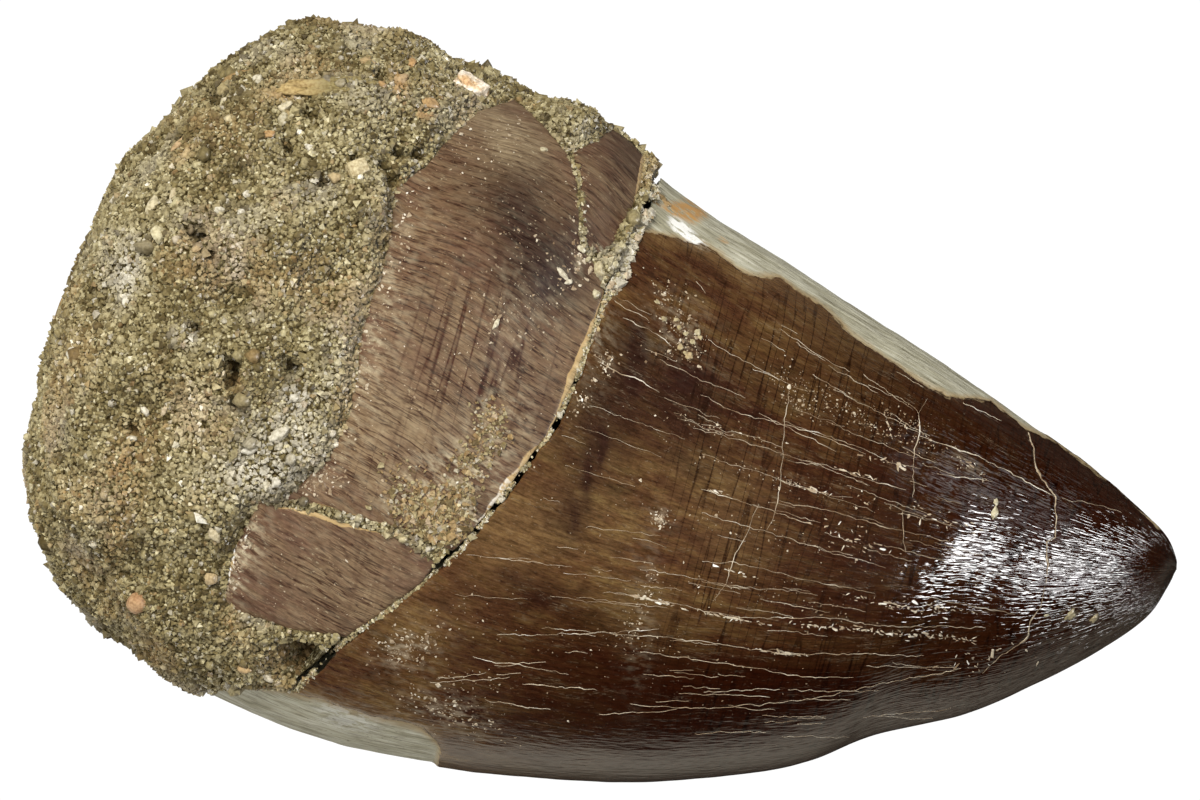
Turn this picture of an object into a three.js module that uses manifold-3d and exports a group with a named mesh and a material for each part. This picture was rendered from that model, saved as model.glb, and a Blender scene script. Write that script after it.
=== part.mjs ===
// A fossil mosasaur tooth, broken across and cemented in a lump of sandstone.
// It lies on its side: +X runs from the stone end to the tip of the tooth, +Y is the side
// with the worn strip, +Z is up, and the origin is under the middle of its box, on the table.
// Pieces: the crown, three plates of the broken tooth wall, the stone, and the chips of shell
// and pebbles set in it. Millimetres throughout.
import * as THREE from "three";
import { mergeVertices } from "three/addons/utils/BufferGeometryUtils.js";
import Module from "manifold-3d";

const wasm = await Module();
wasm.setup();

// ---------------------------------------------------------------- driving dimensions
const AXIS_HEIGHT = 11.0; // height of the tooth's long axis over the table
const TIP_DROP = 0.8; // how much lower the tip lies than the axis
const FLATNESS_AT_BREAK = 0.72; // half thickness over half width, at the break
const FLATNESS_AT_TIP = 0.92; // the same at the tip, which is rounder
const PLATE_THICKNESS = 1.9; // the tooth wall that the plates are pieces of
const SEAT_GAP = 0.3; // clearance round each piece that is set in the stone
const BREAK_GAP = 0.4; // sand seam between the stone and the crown
const SEAM_DEPTH = 0.45; // how far the seam lies below the tooth's surface
const STONE_RISE = 0.85; // how far the stone stands over the plates
const STONE_RISE_RUN = [0.3, 1.3]; // distance from plates and break over which it rises
const EDGE_CALM = 0.5; // share of the stone's unevenness that is left at its edges
const LEDGE_DEPTH = 0.45; // enamel missing over the worn dentine
const LEDGE_RUN = 0.35; // width of the slope at the enamel's edge
const LEDGE_BELOW = 0.5; // how much narrower the bare dentine is on the underside
const AROUND = 60; // points round a section
const CROWN_STEPS = 24;
const STONE_STEPS = 24;
const WALL_AROUND = 44;
const WALL_STEPS = 16;

// Outline of the whole thing seen from above, from the blunt stone end to the tip.
const UPPER_EDGE = [
  [-27.2, -2.5], [-26.9, 3.4], [-25.7, 7.2], [-24.2, 10.8], [-22.4, 13.5], [-20.2, 15.4],
  [-17.3, 16.5], [-14.0, 16.6], [-10.4, 15.5], [-6.4, 15.4], [-3.4, 14.7], [-1.2, 13.5],
  [1.6, 12.35], [5.6, 11.1], [10.6, 9.5], [15.6, 7.95], [20.6, 6.0], [24.6, 4.3], [26.7, 3.05],
  [27.62, 1.35],
];
const LOWER_EDGE = [
  [-27.2, -2.5], [-27.0, -6.4], [-25.8, -10.1], [-24.0, -12.5], [-21.2, -14.4], [-18.4, -15.6],
  [-15.4, -16.5], [-11.0, -17.1], [-5.4, -16.95], [-0.4, -16.3], [4.6, -15.2], [9.6, -13.5],
  [13.0, -11.9], [15.6, -9.95], [19.6, -7.85], [22.6, -5.45], [25.0, -3.3], [27.0, -0.95],
  [27.62, 1.35],
];
// Where the break meets those outlines, as x.
const BREAK_ON_UPPER = -1.1;
const BREAK_ON_LOWER = -12.4;

// The break as [y, x] seen from above, and the same on the underside.
const BREAK_ABOVE = [
  [13.0, -1.1], [11.4, -1.3], [8.9, -1.7], [6.9, -2.0], [4.6, -2.3], [2.4, -2.5], [-0.3, -3.1],
  [-3.2, -4.3], [-6.1, -5.5], [-7.8, -6.5], [-9.8, -8.0], [-12.2, -10.0], [-15.0, -11.5],
  [-15.5, -13.9], [-16.3, -16.2],
];
const BREAK_BELOW = [
  [13.0, -1.1], [10.0, -2.2], [6.0, -3.0], [3.0, -4.6], [0.0, -5.2], [-4.0, -6.9],
  [-8.0, -8.6], [-11.0, -10.9], [-14.0, -12.1], [-15.5, -14.4], [-16.3, -16.2],
];
const BREAK_HEART = [-2.4, -1.5, 11.0]; // the break is dished towards this point
const BREAK_RINGS = [0.1, 0.3, 0.55, 0.8]; // shares of the way from its rim to the heart
const BREAK_WAVE = 0.35; // height of the steps across it
const BREAK_SHRINK = 0.03; // share by which the stone's face is smaller than the crown's

// Lower bound of the worn strip along the upper edge, and upper bound of the bare dentine
// along the lower edge beside the break, as [x, y].
const STRIP_LINE = [
  [-2.0, 10.5], [1.6, 10.6], [4.0, 9.8], [5.6, 10.0], [8.3, 9.0], [10.1, 8.0], [14.7, 6.6],
  [16.9, 7.0], [18.8, 6.1], [21.5, 5.8],
];
const FLAKE_LINE = [[-17.0, -15.3], [-11.5, -15.0], [-5.3, -15.1], [-4.4, -15.6], [-3.6, -17.0]];
const STRIP_FADES = [19, 22]; // x over which the strip's ledge dies out towards the tip
const FLAKE_FADES = [-5.2, -4.2];

// Plates of the tooth wall, each an outline seen from above.
const BASE_PLATE = [
  [-8.9, 15.2], [-7.5, 14.4], [-5.7, 13.2], [-5.0, 12.1], [-4.5, 10.5], [-3.9, 9.0], [-3.1, 8.4],
  [-2.7, 7.2], [-2.9, 5.1], [-3.1, 2.6], [-3.7, -0.1], [-4.8, -2.9], [-6.0, -5.5], [-6.6, -6.4],
  [-8.9, -6.1], [-12.9, -6.0], [-14.4, -6.2], [-12.9, -3.8], [-12.5, -1.8], [-12.6, 0.2],
  [-13.0, 2.5], [-12.8, 5.1], [-12.9, 7.5], [-13.2, 9.4], [-12.0, 11.0], [-11.4, 12.4],
  [-10.4, 14.1],
];
const UPPER_SHARD = [
  [-5.2, 13.5], [-4.4, 14.3], [-3.8, 15.4], [-2.3, 15.4], [-2.1, 12.8], [-2.2, 11.4],
  [-2.5, 9.6], [-3.1, 9.0], [-3.5, 9.2], [-4.1, 10.7], [-4.6, 12.3],
];
const LOWER_SHARD = [
  [-15.6, -6.7], [-12.9, -6.5], [-8.8, -6.7], [-7.0, -7.4], [-7.2, -8.3], [-8.5, -10.0],
  [-10.1, -11.8], [-12.3, -12.1], [-15.3, -11.9], [-16.0, -11.5], [-16.2, -9.4],
];

// Lumps (+) and pits (-) of the stone: [x, y, side, radius, height]; side 1 is the top.
const STONE_SPOTS = [
  [-19.2, 2.4, 1, 1.3, -1.6], [-20.2, 6.9, 1, 1.2, -0.9], [-11.9, -13.6, 1, 1.3, -1.8],
  [-14.1, 11.0, 1, 1.2, -0.8], [-24.0, 2.6, 1, 2.2, 0.5],
  [-17.0, -1.8, 1, 1.9, 0.6], [-20.6, -3.6, 1, 1.4, -0.5], [-22.6, 9.2, 1, 1.8, 0.6],
[-22.8, -8.2, 1, 2.0, 0.5], [-18.6, -9.6, 1, 1.5, -0.5],
  [-17.6, 6.0, 1, 1.6, 0.5], [-14.0, -14.2, 1, 1.1, 0.5], [-8.0, 6.5, -1, 3.0, 0.8],
  [-15.0, 9.0, -1, 2.2, -0.9], [-21.0, 7.5, -1, 2.6, 0.8], [-24.0, -3.0, -1, 2.2, -0.7],
  [-15.5, -9.0, -1, 2.4, 0.8], [-21.0, -9.0, -1, 2.0, -0.8], [-9.0, 10.5, -1, 1.8, -0.9],
];
// Low swellings of the stone: [wave along x, y, z in rad/mm, phase, height in mm].
const STONE_SWELL = [
  [0.75, 0.32, 0.41, 0.4, 0.2], [-0.38, 0.83, 0.25, 1.9, 0.2], [0.52, -0.61, 0.77, 3.1, 0.18],
  [1.31, 0.48, -0.36, 5.0, 0.13], [-0.55, 1.22, 0.64, 2.2, 0.13], [0.92, 1.05, 1.12, 0.9, 0.1],
];

// Chips and pebbles set in the stone: place seen from above, half sizes along the surface
// (length, width) and across it, heading of the length from +X, and how deep the middle sits.
const INCLUSIONS = {
  shell_chip: { at: [-11.1, 14.9], half: [1.0, 0.75, 0.6], heading: -35, sunk: 0.05 },
  shell_strip: { at: [-17.2, 13.0], half: [2.5, 0.5, 0.5], heading: 22, sunk: 0.05 },
  round_pebble: { at: [-19.7, -12.3], half: [0.62, 0.52, 0.55], heading: 60, sunk: 0.1 },
  small_pebble: { at: [-15.2, 9.4], half: [0.6, 0.5, 0.5], heading: 40, sunk: 0.1 },
  edge_flake: { at: [-27.0, -0.4], half: [1.45, 0.5, 0.4], heading: 78, sunk: 0.1 },
};

const FINISH = {
  crown: { color: "#513921", roughness: 0.3 },
  base_plate: { color: "#80694f", roughness: 0.6 },
  upper_shard: { color: "#6b543a", roughness: 0.55 },
  lower_shard: { color: "#7c6148", roughness: 0.55 },
  stone: { color: "#8e7f5d", roughness: 0.95 },
  shell_chip: { color: "#ccbb96", roughness: 0.6 },
  shell_strip: { color: "#b59c70", roughness: 0.7 },
  round_pebble: { color: "#a48c64", roughness: 0.6 },
  small_pebble: { color: "#b5a67f", roughness: 0.6 },
  edge_flake: { color: "#a98e5d", roughness: 0.6 },
};

// ---------------------------------------------------------------- the form of the tooth
const { clamp, lerp, smoothstep } = THREE.MathUtils;

// Value at `at` on a polyline of [from, value] pairs whose `from` runs one way.
function along(line, at) {
  const rising = line[line.length - 1][0] > line[0][0] ? 1 : -1;
  for (let i = 1; i < line.length; i++) {
    const [from, start] = line[i - 1];
    const [to, end] = line[i];
    if (at * rising <= to * rising)
      return lerp(start, end, clamp((at - from) / (to - from), 0, 1));
  }
  return line[line.length - 1][1];
}

function smoothCurve(points) {
  const corners = points.map(([x, y]) => new THREE.Vector3(x, y, 0));
  const curve = new THREE.CatmullRomCurve3(corners, false, "catmullrom", 0.5);
  curve.arcLengthDivisions = 800;
  return curve;
}

// An outline as a function of the station u: 0 at the stone end, 1 where the break meets the
// outline, 2 at the tip. The distance along it is a quadratic through those three.
function edgeByStation(points, breakIndex) {
  const curve = smoothCurve(points);
  const whole = curve.getLength();
  const lengths = curve.getLengths();
  const toBreak = lengths[Math.round((lengths.length - 1) * breakIndex)];
  const bend = (whole - 2 * toBreak) / 2;
  const slope = toBreak - bend;
  return (u) => curve.getPointAt(clamp((slope * u + bend * u * u) / whole, 0, 1));
}

// Fraction of an outline's curve at which it crosses x, past the stone end.
function fractionAtX(points, x) {
  const i = points.findIndex(([px]) => px > x);
  const [from] = points[i - 1];
  const [to] = points[i];
  return (i - 1 + (x - from) / (to - from)) / (points.length - 1);
}

const upperEdge = edgeByStation(UPPER_EDGE, fractionAtX(UPPER_EDGE, BREAK_ON_UPPER));
const lowerEdge = edgeByStation(LOWER_EDGE, fractionAtX(LOWER_EDGE, BREAK_ON_LOWER));

// The section at station u: its middle, the half width vector towards the upper edge, and its
// half thickness.
function section(u) {
  const upper = upperEdge(u);
  const lower = lowerEdge(u);
  const middle = upper.clone().add(lower).multiplyScalar(0.5);
  const half = upper.clone().sub(lower).multiplyScalar(0.5);
  const toTip = smoothstep(u, 1, 2);
  middle.z = AXIS_HEIGHT - TIP_DROP * toTip;
  const thick = half.length() * lerp(FLATNESS_AT_BREAK, FLATNESS_AT_TIP, toTip);
  return { middle, half, thick };
}

function onSection({ middle, half, thick }, angle) {
  const point = middle.clone().addScaledVector(half, Math.cos(angle));
  point.z += thick * Math.sin(angle);
  return point;
}

const formPoint = (u, angle) => onSection(section(u), angle);

// Point of the form moved out along the surface's normal by rise(point, normal).
function raisedPoint(u, angle, rise) {
  const step = 0.01;
  const here = formPoint(u, angle);
  const alongU = formPoint(Math.min(u + step, 2), angle).sub(
    formPoint(Math.max(u - step, 0), angle),
  );
  const round = formPoint(u, angle + step).sub(formPoint(u, angle - step));
  const normal = round.cross(alongU).normalize();
  const point = here.clone().addScaledVector(normal, rise(here, normal));
  point.z = Math.max(point.z, 0);
  return point;
}

// Station at which the break crosses the line of constant angle.
function breakStation(angle) {
  const line = Math.sin(angle) >= 0 ? BREAK_ABOVE : BREAK_BELOW;
  let low = 0.5;
  let high = 1.6;
  for (let i = 0; i < 30; i++) {
    const mid = (low + high) / 2;
    const point = formPoint(mid, angle);
    if (point.x < along(line, point.y)) low = mid;
    else high = mid;
  }
  return (low + high) / 2;
}

// ---------------------------------------------------------------- solids from rings
const angleOf = (i, count) => (2 * Math.PI * i) / count;

// A closed solid through rings of points, ended by a point at each side.
function solidThroughRings(first, rings, last) {
  const count = rings[0].length;
  const points = [first, ...rings.flat(), last];
  const at = (ring, i) => 1 + ring * count + (i % count);
  const faces = [];
  for (let i = 0; i < count; i++) {
    faces.push(0, at(0, i + 1), at(0, i));
    for (let r = 0; r + 1 < rings.length; r++) {
      faces.push(at(r, i), at(r + 1, i + 1), at(r + 1, i));
      faces.push(at(r, i), at(r, i + 1), at(r + 1, i + 1));
    }
    faces.push(points.length - 1, at(rings.length - 1, i), at(rings.length - 1, i + 1));
  }
  return new wasm.Manifold(
    new wasm.Mesh({
      numProp: 3,
      vertProperties: new Float32Array(points.flatMap((p) => [p.x, p.y, p.z])),
      triVerts: new Uint32Array(faces),
    }),
  );
}

function solidOf(geometry) {
  const bare = geometry.clone();
  bare.deleteAttribute("normal");
  bare.deleteAttribute("uv");
  const merged = mergeVertices(bare, 1e-4);
  return new wasm.Manifold(
    new wasm.Mesh({
      numProp: 3,
      vertProperties: new Float32Array(merged.attributes.position.array),
      triVerts: new Uint32Array(merged.index.array),
    }),
  );
}

function geometryOf(solid) {
  const mesh = solid.getMesh();
  const geometry = new THREE.BufferGeometry();
  geometry.setAttribute("position", new THREE.BufferAttribute(mesh.vertProperties, 3));
  geometry.setIndex(new THREE.BufferAttribute(mesh.triVerts, 1));
  return geometry;
}

// ---------------------------------------------------------------- crown
// Enamel is missing over the worn strip on the upper edge and over the bare dentine beside
// the break on the lower edge.
function crownRise(point, normal) {
  const from = normal.z < 0 ? LEDGE_BELOW : 0;
  const ledge = (inside) => smoothstep(inside, from, from + LEDGE_RUN);
  const strip = ledge(point.y - along(STRIP_LINE, point.x));
  const flake = ledge(along(FLAKE_LINE, point.x) - point.y);
  const stripShown = strip * (1 - smoothstep(point.x, ...STRIP_FADES));
  const flakeShown = flake * (1 - smoothstep(point.x, ...FLAKE_FADES));
  return -LEDGE_DEPTH * Math.max(stripShown, flakeShown);
}

const breakStations = Array.from({ length: AROUND }, (_, i) => breakStation(angleOf(i, AROUND)));

function crownRing(share) {
  return breakStations.map((start, i) =>
    raisedPoint(lerp(start, 2, share), angleOf(i, AROUND), crownRise),
  );
}

// The break itself: rings that close in on its heart, with the steps of a rough fracture.
const HEART = new THREE.Vector3(...BREAK_HEART);
function breakRings(rim) {
  return BREAK_RINGS.map((share) =>
    rim.map((point, i) => {
      const inner = point.clone().lerp(HEART, share);
      const angle = angleOf(i, AROUND);
      inner.x += BREAK_WAVE * Math.sin(5 * angle + 9 * share) * (1 - share);
      return inner;
    }),
  );
}

function crownSolid() {
  const rim = crownRing(0);
  const rings = [...breakRings(rim).reverse(), rim];
  for (let step = 1; step < CROWN_STEPS; step++) rings.push(crownRing(step / CROWN_STEPS));
  return solidThroughRings(HEART, rings, formPoint(2, 0));
}

// ---------------------------------------------------------------- stone
// Distance from an outline, negative inside it.
function distanceFrom(outline, x, y) {
  let nearest = Infinity;
  let inside = false;
  outline.forEach(([ax, ay], i) => {
    const [bx, by] = outline[(i + 1) % outline.length];
    const share = ((x - ax) * (bx - ax) + (y - ay) * (by - ay)) / ((bx - ax) ** 2 + (by - ay) ** 2);
    const t = clamp(share, 0, 1);
    nearest = Math.min(nearest, Math.hypot(x - lerp(ax, bx, t), y - lerp(ay, by, t)));
    if (ay > y !== by > y && x < lerp(ax, bx, (y - ay) / (by - ay))) inside = !inside;
  });
  return inside ? -nearest : nearest;
}

// The stone lies a little below the plates and the crown in the seams, and stands over them
// where it is open.
function stoneRise(point, normal) {
  const side = normal.z < 0 ? -1 : 1;
  let clear = along(side > 0 ? BREAK_ABOVE : BREAK_BELOW, point.y) - point.x;
  if (side > 0)
    for (const outline of [BASE_PLATE, UPPER_SHARD, LOWER_SHARD])
      clear = Math.min(clear, distanceFrom(outline, point.x, point.y));
  const facing = Math.abs(normal.z);
  let lumps = STONE_RISE * facing;
  for (const [kx, ky, kz, phase, height] of STONE_SWELL) {
    const wave = Math.sin(kx * point.x + ky * point.y + kz * point.z + phase);
    lumps += height * lerp(EDGE_CALM, 1, facing) * wave;
  }
  for (const [x, y, spotSide, radius, height] of STONE_SPOTS)
    if (spotSide === side)
      lumps += height * Math.exp(-((point.x - x) ** 2 + (point.y - y) ** 2) / radius ** 2);
  const seam = -SEAM_DEPTH * lerp(EDGE_CALM, 1, facing);
  return lerp(seam, lumps, smoothstep(clear, ...STONE_RISE_RUN));
}

const SEAM_STATION = 0.03; // the stone's last ring lies this much before the break

function stoneRing(share) {
  return breakStations.map((end, i) =>
    raisedPoint(lerp(0, end - SEAM_STATION, share), angleOf(i, AROUND), stoneRise),
  );
}

function stoneSolid() {
  const seam = (point) => {
    const onAxis = new THREE.Vector3(point.x, HEART.y, HEART.z);
    const moved = point.clone().lerp(onAxis, BREAK_SHRINK);
    moved.x -= BREAK_GAP;
    return moved;
  };
  const rim = crownRing(0);
  const rings = [];
  for (let step = 1; step <= STONE_STEPS; step++) rings.push(stoneRing(step / STONE_STEPS));
  rings.push(rim.map(seam), ...breakRings(rim).map((ring) => ring.map(seam)));
  const start = formPoint(0, 0);
  return solidThroughRings(start, rings, seam(HEART));
}

// ---------------------------------------------------------------- plates
// The tooth's form between these two stations, moved in by `inset`.
const WALL_FROM = 0.32;
const WALL_TO = 1.35;

function wallSolid(inset) {
  const rings = [];
  for (let step = 0; step <= WALL_STEPS; step++) {
    const u = lerp(WALL_FROM, WALL_TO, step / WALL_STEPS);
    const ring = [];
    for (let i = 0; i < WALL_AROUND; i++)
      ring.push(raisedPoint(u, angleOf(i, WALL_AROUND), () => -inset));
    rings.push(ring);
  }
  return solidThroughRings(section(WALL_FROM).middle, rings, section(WALL_TO).middle);
}

// An outline seen from above, grown outwards by `grow`, as a tall prism over the axis.
function prism(outline, grow) {
  const corners = outline.map(([x, y]) => new THREE.Vector2(x, y));
  const turn = THREE.ShapeUtils.isClockWise(corners) ? -1 : 1;
  const grown = corners.map((corner, i) => {
    const before = corners.at(i - 1);
    const after = corners[(i + 1) % corners.length];
    const out = after.clone().sub(before).normalize();
    return new THREE.Vector2(corner.x + turn * grow * out.y, corner.y - turn * grow * out.x);
  });
  const geometry = new THREE.ExtrudeGeometry(new THREE.Shape(grown), {
    depth: 2 * AXIS_HEIGHT,
    bevelEnabled: false,
  });
  geometry.translate(0, 0, AXIS_HEIGHT - grow);
  return solidOf(geometry);
}

const wallOutside = wallSolid(0);
const wallInside = wallSolid(PLATE_THICKNESS);
const seatInside = wallSolid(PLATE_THICKNESS + SEAT_GAP);
const plate = (outline) => prism(outline, 0).intersect(wallOutside).subtract(wallInside);
const plateSeat = (outline) => prism(outline, SEAT_GAP).subtract(seatInside);

// ---------------------------------------------------------------- chips and pebbles
// Station and angle of the top of the form over the place [x, y].
function placeOnTop([x, y]) {
  let low = 0;
  let high = 2;
  const side = (u) => {
    const { middle, half } = section(u);
    return half.x * (y - middle.y) - half.y * (x - middle.x);
  };
  for (let i = 0; i < 40; i++) {
    const mid = (low + high) / 2;
    if (side(mid) < 0) low = mid;
    else high = mid;
  }
  const { middle, half } = section(low);
  const share = ((x - middle.x) * half.x + (y - middle.y) * half.y) / half.lengthSq();
  return [low, Math.acos(clamp(share, -0.995, 0.995))];
}

function inclusionSolid({ at, half, heading, sunk }, grow) {
  const [u, angle] = placeOnTop(at);
  const seat = raisedPoint(u, angle, stoneRise);
  const over = raisedPoint(u, angle, (point, normal) => stoneRise(point, normal) + 1);
  const up = over.sub(seat).normalize();
  const lengthways = new THREE.Vector3(1, 0, 0)
    .applyAxisAngle(new THREE.Vector3(0, 0, 1), THREE.MathUtils.degToRad(heading))
    .projectOnPlane(up)
    .normalize();
  const sideways = up.clone().cross(lengthways);
  const frame = new THREE.Matrix4().makeBasis(lengthways, sideways, up);
  frame.setPosition(seat.addScaledVector(up, -sunk));
  const geometry = new THREE.IcosahedronGeometry(1, 1);
  geometry.scale(...half.map((size) => size + grow)).applyMatrix4(frame);
  return solidOf(geometry);
}

// ---------------------------------------------------------------- assembly
const solids = {
  crown: crownSolid(),
  base_plate: plate(BASE_PLATE),
  upper_shard: plate(UPPER_SHARD),
  lower_shard: plate(LOWER_SHARD),
};
let stone = stoneSolid();
for (const outline of [BASE_PLATE, UPPER_SHARD, LOWER_SHARD])
  stone = stone.subtract(plateSeat(outline));
for (const [name, shape] of Object.entries(INCLUSIONS)) {
  solids[name] = inclusionSolid(shape, 0);
  stone = stone.subtract(inclusionSolid(shape, SEAT_GAP));
}
solids.stone = stone;

const tooth = new THREE.Group();
for (const [name, solid] of Object.entries(solids)) {
  const { color, roughness } = FINISH[name];
  const material = new THREE.MeshStandardMaterial({ color, roughness, metalness: 0 });
  const mesh = new THREE.Mesh(geometryOf(solid), material);
  mesh.name = name;
  tooth.add(mesh);
}

export default tooth;
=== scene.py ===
# %% [markdown]
# # A fossil tooth in its stone
#
# The object is one tooth of a mosasaur, a big sea reptile: a stout curved cone of brown enamel,
# broken across near its base, with the root end still buried in a lump of coarse sandstone.
# The engineering model gives every piece its place and size. This lesson dresses it: each solid
# is replaced by a fine mesh of the same form, and each surface gets a material that is built
# from what the real substance is.
#
# The first lines load that model as a fixed frame. Everything below is worked out in
# millimetres and turned to metres only when a mesh is made.

# %% Load the frame
import math
from functools import partial

import bmesh
import bpy
import numpy as np
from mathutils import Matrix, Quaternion, Vector


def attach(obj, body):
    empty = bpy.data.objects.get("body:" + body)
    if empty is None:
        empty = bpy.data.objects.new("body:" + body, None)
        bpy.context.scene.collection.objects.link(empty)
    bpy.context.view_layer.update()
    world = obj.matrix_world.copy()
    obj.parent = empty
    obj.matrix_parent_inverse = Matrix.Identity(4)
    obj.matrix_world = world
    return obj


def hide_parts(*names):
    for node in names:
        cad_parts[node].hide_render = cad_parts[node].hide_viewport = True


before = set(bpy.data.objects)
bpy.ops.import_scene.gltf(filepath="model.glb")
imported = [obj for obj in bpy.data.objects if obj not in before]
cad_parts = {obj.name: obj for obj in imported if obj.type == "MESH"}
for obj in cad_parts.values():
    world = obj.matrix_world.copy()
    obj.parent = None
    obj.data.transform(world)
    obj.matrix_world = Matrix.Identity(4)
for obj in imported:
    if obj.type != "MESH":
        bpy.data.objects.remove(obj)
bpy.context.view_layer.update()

MM = 0.001
print("nodes of the frame:", ", ".join(sorted(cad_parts)))

# %% [markdown]
# ## The form of the tooth
#
# Seen from above, the specimen is held between two smooth outlines, one on each side, that run
# from the blunt stone end to the tip. A station u counts along both at once: 0 at the stone end,
# 1 where the break meets the outline and 2 at the tip. At each station the section is an
# ellipse across the two outlines. The same few points shape the solids, so the fine meshes and
# the solids agree to a hair.

# %% Outlines and break, in millimetres
AXIS_HEIGHT = 11.0
TIP_DROP = 0.8
FLATNESS_AT_BREAK = 0.72
FLATNESS_AT_TIP = 0.92

UPPER_EDGE = [
    (-27.2, -2.5), (-26.9, 3.4), (-25.7, 7.2), (-24.2, 10.8), (-22.4, 13.5), (-20.2, 15.4),
    (-17.3, 16.5), (-14, 16.6), (-10.4, 15.5), (-6.4, 15.4), (-3.4, 14.7), (-1.2, 13.5),
    (1.6, 12.35), (5.6, 11.1), (10.6, 9.5), (15.6, 7.95), (20.6, 6), (24.6, 4.3), (26.6, 3.1),
    (27.45, 2.1), (27.63, 1.6),
]
LOWER_EDGE = [
    (-27.2, -2.5), (-27, -6.4), (-25.8, -10.1), (-24, -12.5), (-21.2, -14.4), (-18.4, -15.6),
    (-15.4, -16.5), (-11, -17.1), (-5.4, -16.95), (-0.4, -16.3), (4.6, -15.2), (9.6, -13.5),
    (13, -11.9), (15.6, -9.95), (19.6, -7.85), (22.6, -5.45), (25, -3.3), (26.8, -1.2),
    (27.45, 0.6), (27.63, 1.6),
]
BREAK_ON_UPPER = -1.1  # x where the break meets each outline
BREAK_ON_LOWER = -12.4

# The break as (y, x), seen from above and on the underside.
BREAK_ABOVE = [
    (13, -1.1), (11.4, -1.3), (8.9, -1.7), (6.9, -2), (4.6, -2.3), (2.4, -2.5), (-0.3, -3.1),
    (-3.2, -4.3), (-6.1, -5.5), (-7.8, -6.5), (-9.8, -8), (-12.2, -10), (-15, -11.5),
    (-15.5, -13.9), (-16.3, -16.2),
]
BREAK_BELOW = [
    (13, -1.1), (10, -2.2), (6, -3), (3, -4.6), (0, -5.2), (-4, -6.9), (-8, -8.6), (-11, -10.9),
    (-14, -12.1), (-15.5, -14.4), (-16.3, -16.2),
]
BREAK_HEART = np.array([-2.4, -1.5, AXIS_HEIGHT])


def smooth_curve(corners, steps=4000):
    """A smooth curve through the corners, as closely spaced points."""
    corners = np.array(corners, float)
    posts = np.vstack([2 * corners[0] - corners[1], corners, 2 * corners[-1] - corners[-2]])
    along = np.linspace(0, len(corners) - 1, steps + 1)
    i = np.minimum(along.astype(int), len(corners) - 2)
    f = (along - i)[:, None]
    start, end = posts[i + 1], posts[i + 2]
    leaving = 0.5 * (end - posts[i])
    arriving = 0.5 * (posts[i + 3] - start)
    square = -3 * start + 3 * end - 2 * leaving - arriving
    cube = 2 * start - 2 * end + leaving + arriving
    return start + leaving * f + square * f**2 + cube * f**3


def distance_along(line):
    """How far each corner of a line lies along it."""
    return np.concatenate([[0], np.cumsum(np.linalg.norm(np.diff(line, axis=0), axis=1))])


def points_along(line, distance, at):
    """Points at some way along a line whose corners lie at the given distances."""
    return np.stack([np.interp(at, distance, line[:, k]) for k in (0, 1)], -1)


def edge_by_station(corners, x_at_break):
    """An outline as a function of the station: 0 stone end, 1 break, 2 tip."""
    curve = smooth_curve(corners)
    distance = distance_along(curve)
    i = next(i for i, corner in enumerate(corners) if corner[0] > x_at_break)
    share = i - 1 + (x_at_break - corners[i - 1][0]) / (corners[i][0] - corners[i - 1][0])
    share /= len(corners) - 1
    to_break = np.interp(share, np.linspace(0, 1, len(curve)), distance)
    bend = (distance[-1] - 2 * to_break) / 2
    slope = to_break - bend

    def edge(u):
        at = slope * u + bend * u * u
        return np.interp(at, distance, curve[:, 0]), np.interp(at, distance, curve[:, 1])

    return edge


upper_edge = edge_by_station(UPPER_EDGE, BREAK_ON_UPPER)
lower_edge = edge_by_station(LOWER_EDGE, BREAK_ON_LOWER)
print("tip at", [round(float(v), 2) for v in upper_edge(2.0)], "mm")

# %% [markdown]
# ## Walking on the form
#
# A few small functions answer the questions that all the pieces ask. Where is the surface at a
# station and an angle round the section? Which way does it face? And which station and angle lie
# under a place that is seen from above? All of them work on whole arrays of points at once.

# %% Points, normals and places on the form


def ease(value, start, end):
    """0 before start, 1 after end, and a soft S between them."""
    t = np.clip((value - start) / (end - start), 0, 1)
    return t * t * (3 - 2 * t)


def blend(first, second, share):
    return first + (second - first) * share


def section(u):
    """Middle and half width of the section at u as x and y, then its height and thickness."""
    (ux, uy), (lx, ly) = upper_edge(u), lower_edge(u)
    half_x, half_y = (ux - lx) / 2, (uy - ly) / 2
    to_tip = ease(u, 1, 2)
    flatness = blend(FLATNESS_AT_BREAK, FLATNESS_AT_TIP, to_tip)
    thick = np.hypot(half_x, half_y) * flatness
    return (ux + lx) / 2, (uy + ly) / 2, half_x, half_y, AXIS_HEIGHT - TIP_DROP * to_tip, thick


def form(u, angle):
    """Points of the form; the angle is 0 at the upper outline and pi at the lower one."""
    x, y, half_x, half_y, z, thick = section(u)
    across, up = np.cos(angle), np.sin(angle)
    return np.stack([x + half_x * across, y + half_y * across, z + thick * up], -1)


def form_normal(u, angle):
    step = 0.01
    lengthways = form(np.minimum(u + step, 2), angle) - form(np.maximum(u - step, 0), angle)
    round_it = form(u, angle + step) - form(u, angle - step)
    normal = np.cross(round_it, lengthways)
    return normal / np.maximum(np.linalg.norm(normal, axis=-1, keepdims=True), 1e-9)


def lifted(points, normals, rise):
    """Points moved out by rise millimetres, and never under the table."""
    points = points + normals * np.asarray(rise)[..., None]
    points[..., 2] = np.maximum(points[..., 2], 0)
    return points


def break_x(y, above):
    """x of the break at y, on the upper or the under side."""
    lines = [np.array(line)[::-1] for line in (BREAK_ABOVE, BREAK_BELOW)]
    over, under = (np.interp(y, line[:, 0], line[:, 1]) for line in lines)
    return np.where(above, over, under)


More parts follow.
